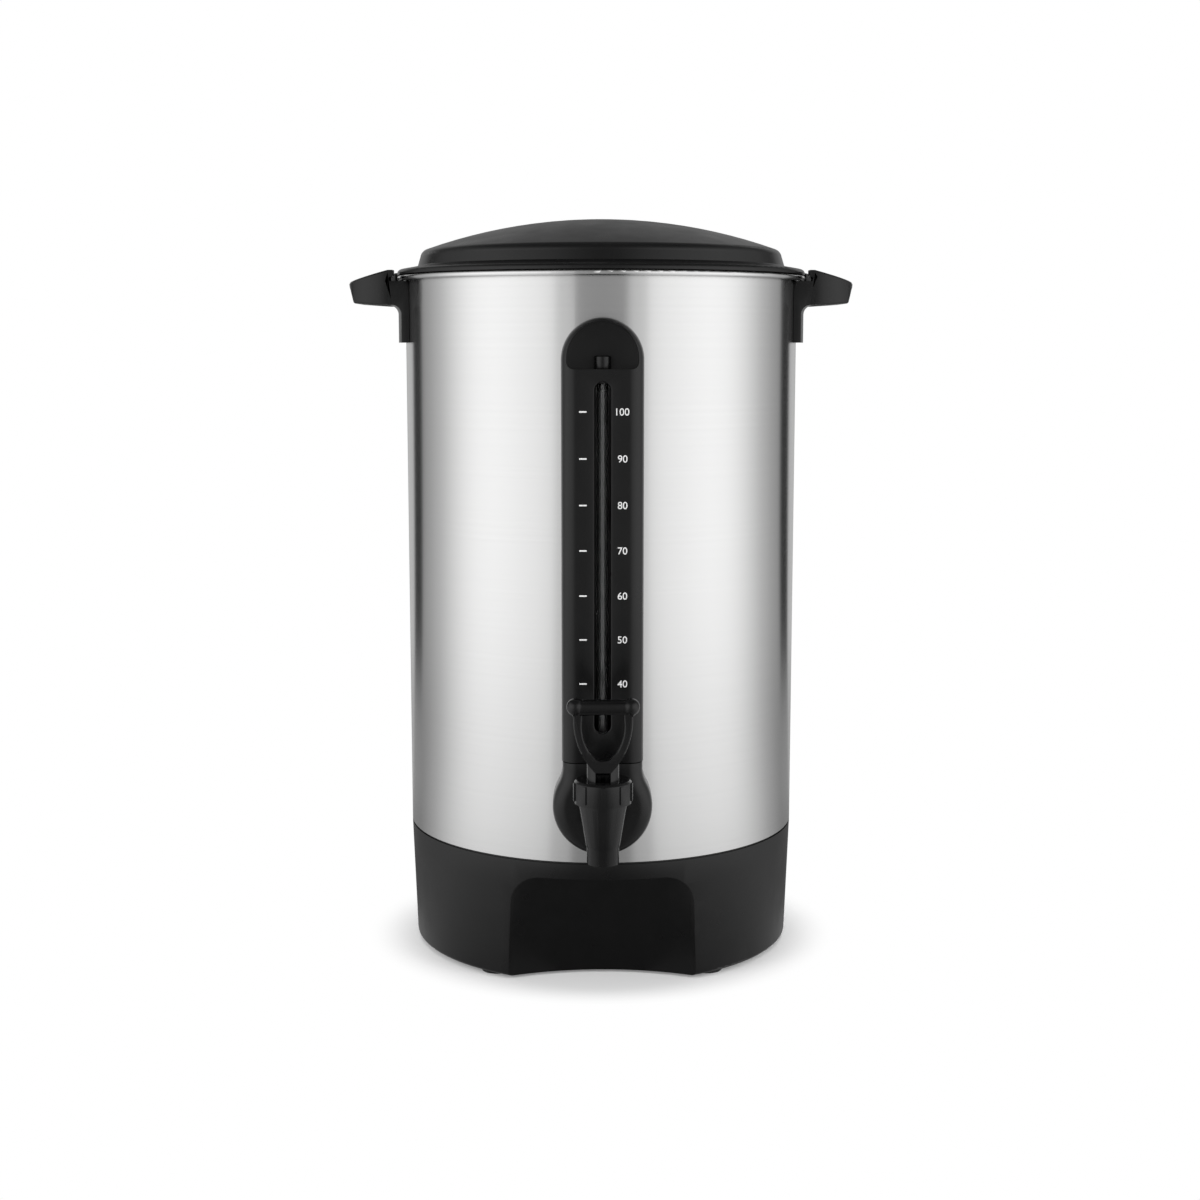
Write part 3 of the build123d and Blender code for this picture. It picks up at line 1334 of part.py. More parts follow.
pump_low = well_z + pump_lift
pump_high = well_z + pump_height + pump_wall
with BuildPart() as pump_bell:
    with BuildSketch(Plane.XZ):
        Polygon((pump_radius, pump_low), (pump_radius, pump_low + pump_wall),
                (stem_tube_radius + pump_wall, pump_high), (stem_tube_radius, pump_high),
                (stem_tube_radius, pump_high - pump_wall),
                (stem_tube_radius - stem_tube_wall, pump_high - pump_wall),
                (pump_radius - 2 * pump_wall, pump_low), align=None)
    revolve(axis=Axis.Z)
    with BuildSketch(Plane.XY.offset(pump_low)):
        with PolarLocations(pump_hole_circle, pump_hole_count):
            Circle(pump_wall)
    extrude(amount=pump_height, mode=Mode.SUBTRACT)
pump_bell.part.label = "pump_bell"
export_step(pump_bell.part, "parts/pump_bell.step")

sleeve_inner = stem_tube_radius + slide_clearance
sleeve_outer = sleeve_inner + basket_sleeve_wall
with BuildPart() as brew_basket:
    with BuildSketch(Plane.XZ):
        Polygon((sleeve_inner, basket_floor_z), (basket_radius, basket_floor_z),
                (basket_radius, basket_top_z - basket_sheet),
                (basket_radius + basket_flange, basket_top_z - basket_sheet),
                (basket_radius + basket_flange, basket_top_z), (basket_radius - basket_sheet, basket_top_z),
                (basket_radius - basket_sheet, basket_floor_z + basket_sheet),
                (sleeve_outer, basket_floor_z + basket_sheet), (sleeve_outer, basket_top_z - cover_collar),
                (sleeve_inner, basket_top_z - cover_collar), align=None)
    revolve(axis=Axis.Z)
    with BuildSketch(Plane.XY.offset(basket_floor_z)):
        for circle in basket_hole_circles:
            with PolarLocations(circle, round(2 * pi * circle / basket_hole_pitch)):
                Circle(basket_hole_radius)
    extrude(amount=basket_sheet, mode=Mode.SUBTRACT)
brew_basket.part.label = "brew_basket"
export_step(brew_basket.part, "parts/brew_basket.step")

cover_z = basket_top_z + contact_gap
skirt_radius = basket_radius - basket_sheet - slide_clearance
with BuildPart() as basket_cover:
    with BuildSketch(Plane.XZ):
        Polygon((sleeve_inner, cover_z), (skirt_radius - cover_sheet, cover_z),
                (skirt_radius - cover_sheet, cover_z - cover_skirt), (skirt_radius, cover_z - cover_skirt),
                (skirt_radius, cover_z), (basket_radius + basket_flange, cover_z),
                (basket_radius + basket_flange, cover_z + cover_sheet),
                (sleeve_outer, cover_z + cover_sheet), (sleeve_outer, cover_z + cover_collar),
                (sleeve_inner, cover_z + cover_collar), align=None)
    revolve(axis=Axis.Z)
    with BuildSketch(Plane.XY.offset(cover_z)):
        for circle in cover_hole_circles:
            with PolarLocations(circle, round(2 * pi * circle / cover_hole_pitch)):
                Circle(basket_hole_radius)
    extrude(amount=cover_sheet, mode=Mode.SUBTRACT)
basket_cover.part.label = "basket_cover"
export_step(basket_cover.part, "parts/basket_cover.step")
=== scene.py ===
# Coffee urn: a brushed steel tank on a black plastic base, with a percolator, a level gauge and a lever tap.
from math import pi, radians

import bmesh
import bpy
from mathutils import Matrix, Vector
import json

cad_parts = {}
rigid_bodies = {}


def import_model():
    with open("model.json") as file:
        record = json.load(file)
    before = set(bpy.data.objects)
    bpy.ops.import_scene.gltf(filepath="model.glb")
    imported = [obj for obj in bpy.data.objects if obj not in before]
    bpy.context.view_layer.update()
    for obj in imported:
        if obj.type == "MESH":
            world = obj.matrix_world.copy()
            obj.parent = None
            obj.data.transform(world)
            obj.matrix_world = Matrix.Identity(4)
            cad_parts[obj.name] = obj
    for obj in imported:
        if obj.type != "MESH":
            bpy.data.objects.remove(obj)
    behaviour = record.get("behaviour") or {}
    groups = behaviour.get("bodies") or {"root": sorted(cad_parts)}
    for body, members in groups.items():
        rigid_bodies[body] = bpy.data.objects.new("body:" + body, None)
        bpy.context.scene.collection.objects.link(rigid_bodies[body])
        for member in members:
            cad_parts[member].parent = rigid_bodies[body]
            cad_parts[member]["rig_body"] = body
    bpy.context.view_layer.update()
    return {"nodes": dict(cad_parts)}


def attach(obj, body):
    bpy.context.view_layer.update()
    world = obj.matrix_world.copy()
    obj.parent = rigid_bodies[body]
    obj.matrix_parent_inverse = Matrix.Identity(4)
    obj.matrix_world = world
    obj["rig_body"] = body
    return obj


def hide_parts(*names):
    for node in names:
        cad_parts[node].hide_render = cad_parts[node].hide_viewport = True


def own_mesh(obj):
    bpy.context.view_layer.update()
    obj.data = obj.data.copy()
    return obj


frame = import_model()
nodes = frame["nodes"]
scene = bpy.context.scene
print("frame loaded:", len(nodes), "nodes")


# camera
view = {"place": (-0.0086, -1.2773, 0.40902), "tilt": 7.907, "turn": 0.355, "lens": 56.15, "sensor": 36}

camera = bpy.data.objects.new("camera", bpy.data.cameras.new("camera"))
camera.data.lens = view["lens"]
camera.data.sensor_width = view["sensor"]
camera.location = view["place"]
camera.rotation_euler = (radians(90 - view["tilt"]), 0, -radians(view["turn"]))
scene.collection.objects.link(camera)
scene.camera = camera
print("camera placed")


# node tools
def addNode(tree, kind, **settings):
    node = tree.nodes.new(kind)
    for key, value in settings.items():
        setattr(node, key, value)
    return node


def setInputs(node, **values):
    for key, value in values.items():
        node.inputs[key.replace("_", " ")].default_value = value
    return node


def newGroup(name, inputs, outputs):
    group = bpy.data.node_groups.new(name, "ShaderNodeTree")
    for label, kind, value in inputs:
        socket = group.interface.new_socket(label, in_out="INPUT", socket_type=kind)
        if value is not None:
            socket.default_value = value
    for label in outputs:
        group.interface.new_socket(label, in_out="OUTPUT", socket_type="NodeSocketFloat")
    return group, group.nodes.new("NodeGroupInput"), group.nodes.new("NodeGroupOutput")


def makeGrain():
    # fine moulded texture: close pits over a slower unevenness
    inputs = [("Vector", "NodeSocketVector", None), ("Scale", "NodeSocketFloat", 1800.0)]
    group, start, end = newGroup("moulded grain", inputs, ["Height", "Mottle"])
    pits = setInputs(addNode(group, "ShaderNodeTexNoise"), Detail=2.0, Roughness=0.6)
    slow = setInputs(addNode(group, "ShaderNodeTexNoise"), Scale=60.0, Detail=3.0)
    group.links.new(start.outputs["Vector"], pits.inputs["Vector"])
    group.links.new(start.outputs["Scale"], pits.inputs["Scale"])
    group.links.new(start.outputs["Vector"], slow.inputs["Vector"])
    group.links.new(pits.outputs["Fac"], end.inputs["Height"])
    group.links.new(slow.outputs["Fac"], end.inputs["Mottle"])
    return group


def makeBrush():
    # long thin lines: the pattern is slow along the brushing and quick across it
    inputs = [("Vector", "NodeSocketVector", None), ("Stretch", "NodeSocketVector", (9.0, 9.0, 7000.0))]
    group, start, end = newGroup("brushed lines", inputs, ["Lines", "Bands"])
    fine = setInputs(addNode(group, "ShaderNodeTexNoise"), Scale=1.0, Detail=3.0, Roughness=0.65)
    wide = setInputs(addNode(group, "ShaderNodeTexNoise"), Scale=0.06, Detail=2.0)
    scaled = addNode(group, "ShaderNodeVectorMath", operation="MULTIPLY")
    group.links.new(start.outputs["Vector"], scaled.inputs[0])
    group.links.new(start.outputs["Stretch"], scaled.inputs[1])
    group.links.new(scaled.outputs[0], fine.inputs["Vector"])
    group.links.new(scaled.outputs[0], wide.inputs["Vector"])
    group.links.new(fine.outputs["Fac"], end.inputs["Lines"])
    group.links.new(wide.outputs["Fac"], end.inputs["Bands"])
    return group


grainGroup = makeGrain()
brushGroup = makeBrush()


def newMaterial(name, **values):
    material = bpy.data.materials.new(name)
    material.use_nodes = True
    tree = material.node_tree
    shader = tree.nodes["Principled BSDF"]
    for key, value in values.items():
        socket = shader.inputs[key.replace("_", " ")]
        socket.default_value = (*value, 1.0) if isinstance(value, tuple) else value
    return material, tree, shader


def objectVector(tree):
    return addNode(tree, "ShaderNodeTexCoord").outputs["Object"]


patternRange = (0.3, 0.7)  # where most of a noise pattern lies


def spread(tree, source, low, high):
    # a noise pattern brought between two values
    node = setInputs(addNode(tree, "ShaderNodeMapRange"), From_Min=patternRange[0], From_Max=patternRange[1],
                     To_Min=low, To_Max=high)
    tree.links.new(source, node.inputs["Value"])
    return node.outputs["Result"]


def tint(tree, source, dark, light):
    node = addNode(tree, "ShaderNodeMix", data_type="RGBA")
    node.inputs["A"].default_value = (*dark, 1.0)
    node.inputs["B"].default_value = (*light, 1.0)
    tree.links.new(source, node.inputs["Factor"])
    return node.outputs["Result"]


def addBump(tree, shader, height, distance, strength=1.0):
    bump = setInputs(addNode(tree, "ShaderNodeBump"), Distance=distance, Strength=strength)
    tree.links.new(height, bump.inputs["Height"])
    tree.links.new(bump.outputs["Normal"], shader.inputs["Normal"])


def mouldedPlastic(name, values):
    # plastic, rubber or ceramic out of a mould, with a fine even texture
    material, tree, shader = newMaterial(name, Base_Color=values["light"], Roughness=values["rough"][0],
                                         Specular_IOR_Level=values.get("gloss", 0.5))
    vector = objectVector(tree)
    grain = addNode(tree, "ShaderNodeGroup", node_tree=grainGroup)
    grain.inputs["Scale"].default_value = values["scale"]
    tree.links.new(vector, grain.inputs["Vector"])
    tree.links.new(tint(tree, grain.outputs["Mottle"], values["dark"], values["light"]),
                   shader.inputs["Base Color"])
    tree.links.new(spread(tree, grain.outputs["Mottle"], *values["rough"]), shader.inputs["Roughness"])
    addBump(tree, shader, grain.outputs["Height"], values["depth"])
    return material


quarterTurn = 0.25


def brushedMetal(name, values):
    # metal with brush lines along the stretch that it is given; a grainwise one smears its reflections too
    material, tree, shader = newMaterial(name, Base_Color=values["light"], Metallic=1.0,
                                         Roughness=values["rough"][0],
                                         Anisotropic=values.get("grainwise", 0.0),
                                         Anisotropic_Rotation=quarterTurn if "grainwise" in values else 0.0)
    vector = objectVector(tree)
    brush = addNode(tree, "ShaderNodeGroup", node_tree=brushGroup)
    brush.inputs["Stretch"].default_value = values["stretch"]
    tree.links.new(vector, brush.inputs["Vector"])
    tree.links.new(tint(tree, brush.outputs["Bands"], values["dark"], values["light"]),
                   shader.inputs["Base Color"])
    tree.links.new(spread(tree, brush.outputs["Lines"], *values["rough"]), shader.inputs["Roughness"])
    addBump(tree, shader, brush.outputs["Lines"], values["depth"])
    if "grainwise" in values:
        turned = addNode(tree, "ShaderNodeTangent", direction_type="RADIAL", axis="Z")
        tree.links.new(turned.outputs["Tangent"], shader.inputs["Tangent"])
    return material


plasticFinish = {
    "black grained": {"dark": (0.0020, 0.0020, 0.0021), "light": (0.0032, 0.0032, 0.0033),
                      "rough": (0.27, 0.34), "scale": 1500.0, "depth": 0.00001, "gloss": 0.40},
    "black satin": {"dark": (0.0018, 0.0018, 0.0019), "light": (0.0028, 0.0028, 0.0029),
                    "rough": (0.22, 0.28), "scale": 2200.0, "depth": 0.000006, "gloss": 0.42},
    "black rubber": {"dark": (0.014, 0.014, 0.014), "light": (0.022, 0.022, 0.022), "rough": (0.75, 0.85),
                     "scale": 900.0, "depth": 0.00006},
    "milky silicone": {"dark": (0.60, 0.59, 0.55), "light": (0.72, 0.71, 0.67), "rough": (0.45, 0.55),
                       "scale": 700.0, "depth": 0.00002},
    "phenolic": {"dark": (0.035, 0.028, 0.024), "light": (0.055, 0.045, 0.038), "rough": (0.45, 0.60),
                 "scale": 900.0, "depth": 0.00004},
    "cream ceramic": {"dark": (0.66, 0.61, 0.50), "light": (0.76, 0.72, 0.62), "rough": (0.22, 0.30),
                      "scale": 500.0, "depth": 0.00002},
    "mica sheet": {"dark": (0.38, 0.29, 0.16), "light": (0.56, 0.46, 0.28), "rough": (0.30, 0.50),
                   "scale": 260.0, "depth": 0.00005},
    "red rocker": {"dark": (0.34, 0.008, 0.008), "light": (0.46, 0.012, 0.010), "rough": (0.16, 0.24),
                   "scale": 900.0, "depth": 0.000005},
    "black enamel": {"dark": (0.018, 0.018, 0.019), "light": (0.026, 0.026, 0.027), "rough": (0.30, 0.42),
                     "scale": 420.0, "depth": 0.00003},
    "scale ink": {"dark": (0.62, 0.62, 0.62), "light": (0.72, 0.72, 0.72), "rough": (0.50, 0.60),
                  "scale": 2500.0, "depth": 0.00001},
}
metalFinish = {
    "brushed steel": {"dark": (0.70, 0.70, 0.698), "light": (0.735, 0.735, 0.733), "rough": (0.19, 0.23),
                      "stretch": (9.0, 9.0, 7000.0), "depth": 0.0000003, "grainwise": 0.80},
    "plain steel": {"dark": (0.46, 0.46, 0.46), "light": (0.58, 0.58, 0.58), "rough": (0.26, 0.36),
                    "stretch": (900.0, 900.0, 900.0), "depth": 0.000001},
    "heater steel": {"dark": (0.20, 0.18, 0.16), "light": (0.34, 0.31, 0.28), "rough": (0.40, 0.55),
                     "stretch": (180.0, 180.0, 180.0), "depth": 0.00001},
    "satin aluminium": {"dark": (0.66, 0.66, 0.67), "light": (0.76, 0.76, 0.77), "rough": (0.30, 0.40),
                        "stretch": (30.0, 30.0, 3500.0), "depth": 0.000001},
    "plain brass": {"dark": (0.62, 0.44, 0.18), "light": (0.76, 0.57, 0.27), "rough": (0.28, 0.38),
                    "stretch": (300.0, 300.0, 300.0), "depth": 0.000003},
}
finishes = {name: mouldedPlastic(name, values) for name, values in plasticFinish.items()}
finishes.update({name: brushedMetal(name, values) for name, values in metalFinish.items()})


glassLook = {"colour": (0.95, 0.96, 0.955), "rough": (0.0, 0.02), "bending": 1.47, "clear": 0.975,
             "smears": 90.0}


def makeGlass():
    material, tree, shader = newMaterial("gauge glass", Base_Color=glassLook["colour"],
                                         Roughness=glassLook["rough"][1], IOR=glassLook["bending"],
                                         Transmission_Weight=glassLook["clear"])
    grain = addNode(tree, "ShaderNodeGroup", node_tree=grainGroup)
    grain.inputs["Scale"].default_value = glassLook["smears"]
    tree.links.new(objectVector(tree), grain.inputs["Vector"])
    tree.links.new(spread(tree, grain.outputs["Mottle"], *glassLook["rough"]), shader.inputs["Roughness"])
    return material


sleeveLook = {"dark": (0.50, 0.48, 0.43), "light": (0.72, 0.70, 0.65), "rough": 0.8, "scale": 450.0,
              "wander": 0.4, "depth": 0.0001}


def makeSleeve():
    # glass-fibre sleeve: a fine braid of two crossed waves
    material, tree, shader = newMaterial("wire sleeve", Roughness=sleeveLook["rough"])
    vector = objectVector(tree)
    heights = []
    for direction in ("DIAGONAL", "Z"):
        wave = setInputs(addNode(tree, "ShaderNodeTexWave", wave_type="BANDS"), Scale=sleeveLook["scale"],
                         Distortion=sleeveLook["wander"])
        wave.bands_direction = direction
        tree.links.new(vector, wave.inputs["Vector"])
        heights.append(wave.outputs["Fac"])
    braid = addNode(tree, "ShaderNodeMath", operation="MULTIPLY")
    tree.links.new(heights[0], braid.inputs[0])
    tree.links.new(heights[1], braid.inputs[1])
    tree.links.new(tint(tree, braid.outputs[0], sleeveLook["dark"], sleeveLook["light"]),
                   shader.inputs["Base Color"])
    addBump(tree, shader, braid.outputs[0], sleeveLook["depth"])
    return material


finishes["gauge glass"] = makeGlass()
finishes["wire sleeve"] = makeSleeve()
print("materials made:", len(finishes))


# finishes of the solids
nodeFinish = {
    "brushed steel": ["tank_wall"],
    "plain steel": ["tank_bottom", "base_studs", "base_nuts", "thermostat_strap", "handle_screws",
                    "shield_screws", "lever_pin", "tap_spring"],
    "heater steel": ["brew_heater"],
    "satin aluminium": ["heat_spreader", "percolator_tube", "pump_bell", "brew_basket", "basket_cover"],
    "black grained": ["base_skirt", "lid", "handle_left", "handle_right", "gauge_shield", "escutcheon",
                      "power_inlet", "switch_housing"],
    "black satin": ["gauge_cap", "tap_body", "tap_collar", "tap_turret", "tap_lever", "tap_shank", "tap_nut",
                    "valve_stem"],
    "red rocker": ["switch_rocker"],
    "gauge glass": ["sight_glass"],
    "black rubber": ["base_feet", "gauge_seal_top", "gauge_seal_bottom"],
    "milky silicone": ["tap_seal_inner", "tap_seal_outer", "seat_cup"],
    "plain brass": ["inlet_blades", "switch_tabs"],
    "black enamel": ["base_plate"],
    "mica sheet": ["warming_element"],
    "phenolic": ["thermostat", "thermal_fuse"],
    "cream ceramic": ["terminal_block"],
    "wire sleeve": ["wiring"],
}
finishOf = {node: finish for finish, members in nodeFinish.items() for node in members}
for node, solid in nodes.items():
    solid.data.materials.clear()
    solid.data.materials.append(finishes[finishOf[node]])
print("solids finished:", len(finishOf))


# pieces
def addPiece(name, shape, body, finish, replaced=()):
    mesh = bpy.data.meshes.new(name)
    shape.to_mesh(mesh)
    shape.free()
    mesh.materials.append(finishes[finish])
    piece = bpy.data.objects.new(name, mesh)
    scene.collection.objects.link(piece)
    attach(piece, body)
    if replaced:
        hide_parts(*replaced)
    return piece


def smoothOver(piece, angle):
    for face in piece.data.polygons:
        face.use_smooth = True
    piece.data.set_sharp_from_angle(angle=radians(angle))


smoothAngle = 30
edgeRounds = {  # node: (width of the rounded edge in mm, angle in degrees from which an edge is rounded)
    "handle_left": (1.5, 24), "handle_right": (1.5, 24), "base_skirt": (0.3, 30), "escutcheon": (0.4, 30),
    "gauge_shield": (0.7, 30), "tap_body": (0.35, 30), "tap_turret": (0.3, 30), "tap_collar": (0.35, 30),
    "tap_lever": (0.9, 30), "gauge_cap": (0.3, 24), "power_inlet": (0.3, 30), "switch_housing": (0.3, 30),
    "switch_rocker": (0.3, 24), "base_feet": (0.4, 30), "terminal_block": (0.8, 30), "thermostat": (0.6, 30),
}
fullWidth = {  # where a node's edges keep that width; elsewhere it shrinks to what the small faces allow
    "tap_lever": lambda place: place.z > 0.166,  # above the turret
    "handle_left": lambda place: place.x < -0.1383,  # the loop
    "handle_right": lambda place: place.x > 0.1383,
    "gauge_shield": lambda place: abs(place.x) < 0.0056 and place.y < -0.149 and place.z < 0.39,  # the slot
}
flatAngle = {"base_skirt": 0.1}  # degrees between faces that are taken as one; its wall turns slowly
otherFlatAngle = 0.6
mergeDistance = 1e-6


def standIn(node, ending, shape):
    # a smoothed skin that takes a solid's place, body and finish
    piece = addPiece(node + ending, shape, nodes[node]["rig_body"], finishOf[node], [node])
    smoothOver(piece, smoothAngle)
    return piece


def roundEdges(node, width, angle):
    shape = bmesh.new()
    shape.from_mesh(nodes[node].data)
    bmesh.ops.remove_doubles(shape, verts=shape.verts, dist=mergeDistance)
    bmesh.ops.dissolve_limit(shape, angle_limit=radians(flatAngle.get(node, otherFlatAngle)),
                             verts=shape.verts, edges=shape.edges)
    isFull = fullWidth.get(node, lambda place: False)
    for clamped in (False, True):
        edges = [edge for edge in shape.edges if edge.is_manifold and edge.calc_face_angle(0) > radians(angle)
                 and all(isFull(vert.co) for vert in edge.verts) != clamped]
        bmesh.ops.bevel(shape, geom=edges, offset=width / 1000, offset_type="OFFSET", affect="EDGES",
                        segments=3, profile=0.5, material=-1, clamp_overlap=clamped)
    standIn(node, ".rounded", shape)


for node, (width, angle) in edgeRounds.items():
    roundEdges(node, width, angle)
print("edges rounded:", len(edgeRounds))


# tap spring, a smoothed copy of its solid with a mesh of its own (the real spring shortens as the valve
# rises)
springLook = {"node": "tap_spring", "joint": "valve_lift", "travel": 0.00366, "fixedEnd": 0.143}


def makeSpring():
    node = springLook["node"]
    shape = bmesh.new()
    shape.from_mesh(nodes[node].data)
    piece = standIn(node, ".coil", shape)
    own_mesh(piece)


makeSpring()
print("spring made")


# gauge marks
scaleMarks = {"front": -0.1495, "proud": 0.00006, "digitHeight": 0.0044, "digitLeft": 0.0075,
              "digitRight": 0.0166, "weight": 0.004, "thick": 0.02, "steps": 6,
              "dash": (-0.0142, -0.0097), "dashHeight": 0.0009,
              "heights": {100: 0.3663, 90: 0.3381, 80: 0.3100, 70: 0.2824, 60: 0.2548, 50: 0.2278,
                          40: 0.2005}}


def textShape(words):
    curve = bpy.data.curves.new("words", "FONT")
    curve.body = words
    curve.offset = scaleMarks["weight"]
    curve.extrude = scaleMarks["thick"]
    curve.resolution_u = scaleMarks["steps"]
    source = bpy.data.objects.new("words", curve)
    scene.collection.objects.link(source)
    bpy.context.view_layer.update()
    mesh = bpy.data.meshes.new_from_object(source.evaluated_get(bpy.context.evaluated_depsgraph_get()))
    bpy.data.objects.remove(source)
    shape = bmesh.new()
    shape.from_mesh(mesh)
    bpy.data.meshes.remove(mesh)
    return shape


def placeWords(shape, height, centre, depth):
    # the words lie in XY with +Z towards the reader; they are turned to face the tap
    low = Vector([min(v.co[i] for v in shape.verts) for i in range(3)])
    high = Vector([max(v.co[i] for v in shape.verts) for i in range(3)])
    size = height / (high.y - low.y)
    middle = (low + high) / 2
    for vert in shape.verts:
        x, y, z = vert.co - middle
        forward = (z / (high.z - low.z) + 0.5) * depth
        vert.co = (centre[0] + x * size, centre[1] - forward, centre[2] + y * size)


def joinShapes(target, source):
    mesh = bpy.data.meshes.new("joined")
    source.to_mesh(mesh)
    source.free()
    target.from_mesh(mesh)
    bpy.data.meshes.remove(mesh)


marks = bmesh.new()
for count, height in scaleMarks["heights"].items():
    digits = textShape(str(count))
    middle = (scaleMarks["digitLeft"] + scaleMarks["digitRight"]) / 2
    placeWords(digits, scaleMarks["digitHeight"], (middle, scaleMarks["front"], height), scaleMarks["proud"])
    joinShapes(marks, digits)
    left, right = scaleMarks["dash"]
    bmesh.ops.create_cube(marks, size=1.0, matrix=Matrix.Translation(
        ((left + right) / 2, scaleMarks["front"] - scaleMarks["proud"] / 2, height))
        @ Matrix.Diagonal((right - left, scaleMarks["proud"], scaleMarks["dashHeight"], 1.0)))
addPiece("scale_marks", marks, "urn", "scale ink")
print("scale marked")


# rocker marks: a bar for on, a ring for off, laid on the rocker's two slopes
rockerMarks = {"bar": (0.0009, 0.0040), "ring": (0.0014, 0.0021), "steps": 48, "pivotHeight": 0.042,
               "proud": 0.00005, "sunk": 0.00015, "outward": 0.8}


def rockerFace(side):
    # the middle of one slope and its outward direction, read from the rocker's own faces
    solid = nodes["switch_rocker"].data
    faces = [face for face in solid.polygons if face.normal.y > rockerMarks["outward"]
             and (face.center.z - rockerMarks["pivotHeight"]) * side > 0]
    total = sum(face.area for face in faces)
    middle = sum((face.center * face.area for face in faces), Vector()) / total
    facing = sum((face.normal * face.area for face in faces), Vector()).normalized()
    return middle, facing


def layMark(shape, middle, facing):
    across = Vector((1, 0, 0))
    along = facing.cross(across)
    turn = Matrix((across, along, facing)).transposed().to_4x4()
    shape.transform(Matrix.Translation(middle) @ turn)


rockerInk = bmesh.new()
for side in (1, -1):
    middle, facing = rockerFace(side)
    mark = bmesh.new()
    if side > 0:
        width, length = rockerMarks["bar"]
        bmesh.ops.create_cube(mark, size=1.0, matrix=Matrix.Diagonal((width, length, 1.0, 1.0)))
    else:
        inner, outer = rockerMarks["ring"]
        corners = [mark.verts.new((radius, 0, height)) for radius, height in
                   ((inner, 0), (outer, 0), (outer, 1), (inner, 1))]
        outline = [mark.edges.new((corners[i - 1], corners[i])) for i in range(4)]
        bmesh.ops.spin(mark, geom=outline, cent=(0, 0, 0), axis=(0, 0, 1), angle=2 * pi,
                       steps=rockerMarks["steps"], use_merge=True)
        bmesh.ops.remove_doubles(mark, verts=mark.verts, dist=mergeDistance)
        bmesh.ops.recalc_face_normals(mark, faces=mark.faces)
    low = min(vert.co.z for vert in mark.verts)
    high = max(vert.co.z for vert in mark.verts)
    thickness = rockerMarks["proud"] + rockerMarks["sunk"]
    for vert in mark.verts:
        vert.co.z = (vert.co.z - low) / (high - low) * thickness - rockerMarks["sunk"]
    layMark(mark, middle, facing)
    joinShapes(rockerInk, mark)
addPiece("rocker_marks", rockerInk, "rocker", "scale ink")
print("rocker marked")


# floor and light
studio = {  # what polished surfaces see round the urn: (share of half a turn from the front, brightness)
    "around": [(0.0, 0.34), (0.076, 0.36), (0.092, 0.68), (0.138, 0.74), (0.152, 1.00), (0.20, 1.12),
               (0.30, 1.24), (0.36, 1.28), (0.42, 1.24), (0.467, 1.12), (0.513, 0.94), (0.585, 0.63),
               (0.655, 0.44), (0.712, 0.34), (0.724, 0.03), (0.792, 0.03), (0.812, 0.55), (0.90, 0.52),
               (1.0, 0.28)],
    "ceiling": 0.15,
    "ceilingFrom": 0.45,
    "ceilingAt": 0.80,
    "ambient": 0.60,
}


def makeRing():
    # brightness by compass direction, with an even ceiling above
    group, start, end = newGroup("studio ring", [("Vector", "NodeSocketVector", None)], ["Bright"])
    direction = addNode(group, "ShaderNodeSeparateXYZ")
    group.links.new(start.outputs["Vector"], direction.inputs[0])
    front = addNode(group, "ShaderNodeMath", operation="MULTIPLY")
    front.inputs[1].default_value = -1.0
    group.links.new(direction.outputs["Y"], front.inputs[0])
    angle = addNode(group, "ShaderNodeMath", operation="ARCTAN2")
    group.links.new(direction.outputs["X"], angle.inputs[0])
    group.links.new(front.outputs[0], angle.inputs[1])
    share = addNode(group, "ShaderNodeMath", operation="DIVIDE")
    share.inputs[1].default_value = pi
    group.links.new(angle.outputs[0], share.inputs[0])
    side = addNode(group, "ShaderNodeMath", operation="ABSOLUTE")
    group.links.new(share.outputs[0], side.inputs[0])
    ramp = addNode(group, "ShaderNodeValToRGB")
    stops = ramp.color_ramp.elements
    while len(stops) < len(studio["around"]):
        stops.new(0.5)
    for stop, (place, bright) in zip(stops, studio["around"]):
        stop.position = place
        stop.color = (bright, bright, bright, 1.0)
    group.links.new(side.outputs[0], ramp.inputs["Fac"])
    height = setInputs(addNode(group, "ShaderNodeMapRange"), From_Min=studio["ceilingFrom"],
                       From_Max=studio["ceilingAt"], To_Min=0.0, To_Max=1.0)
    group.links.new(direction.outputs["Z"], height.inputs["Value"])
    upper = setInputs(addNode(group, "ShaderNodeMix"), B=studio["ceiling"])
    group.links.new(height.outputs["Result"], upper.inputs["Factor"])
    group.links.new(ramp.outputs["Color"], upper.inputs["A"])
    group.links.new(upper.outputs["Result"], end.inputs["Bright"])
    return group


ringGroup = makeRing()
# the mirror settings give the floor that polished surfaces see: the studio ring, with painted shade that
# darkens it towards the urn's foot in place of the urn's shadow
floorLook = {"radius": 14.0, "steps": 96, "colour": 0.86, "whiteNear": 0.18, "whiteFrom": 0.128,
             "whiteAt": 0.163, "mirrorFoot": 0.32, "mirrorNear": 0.77, "mirrorNearAt": 0.5,
             "mirrorLeast": 0.38, "mirrorFrom": 0.8, "mirrorAt": 1.5}


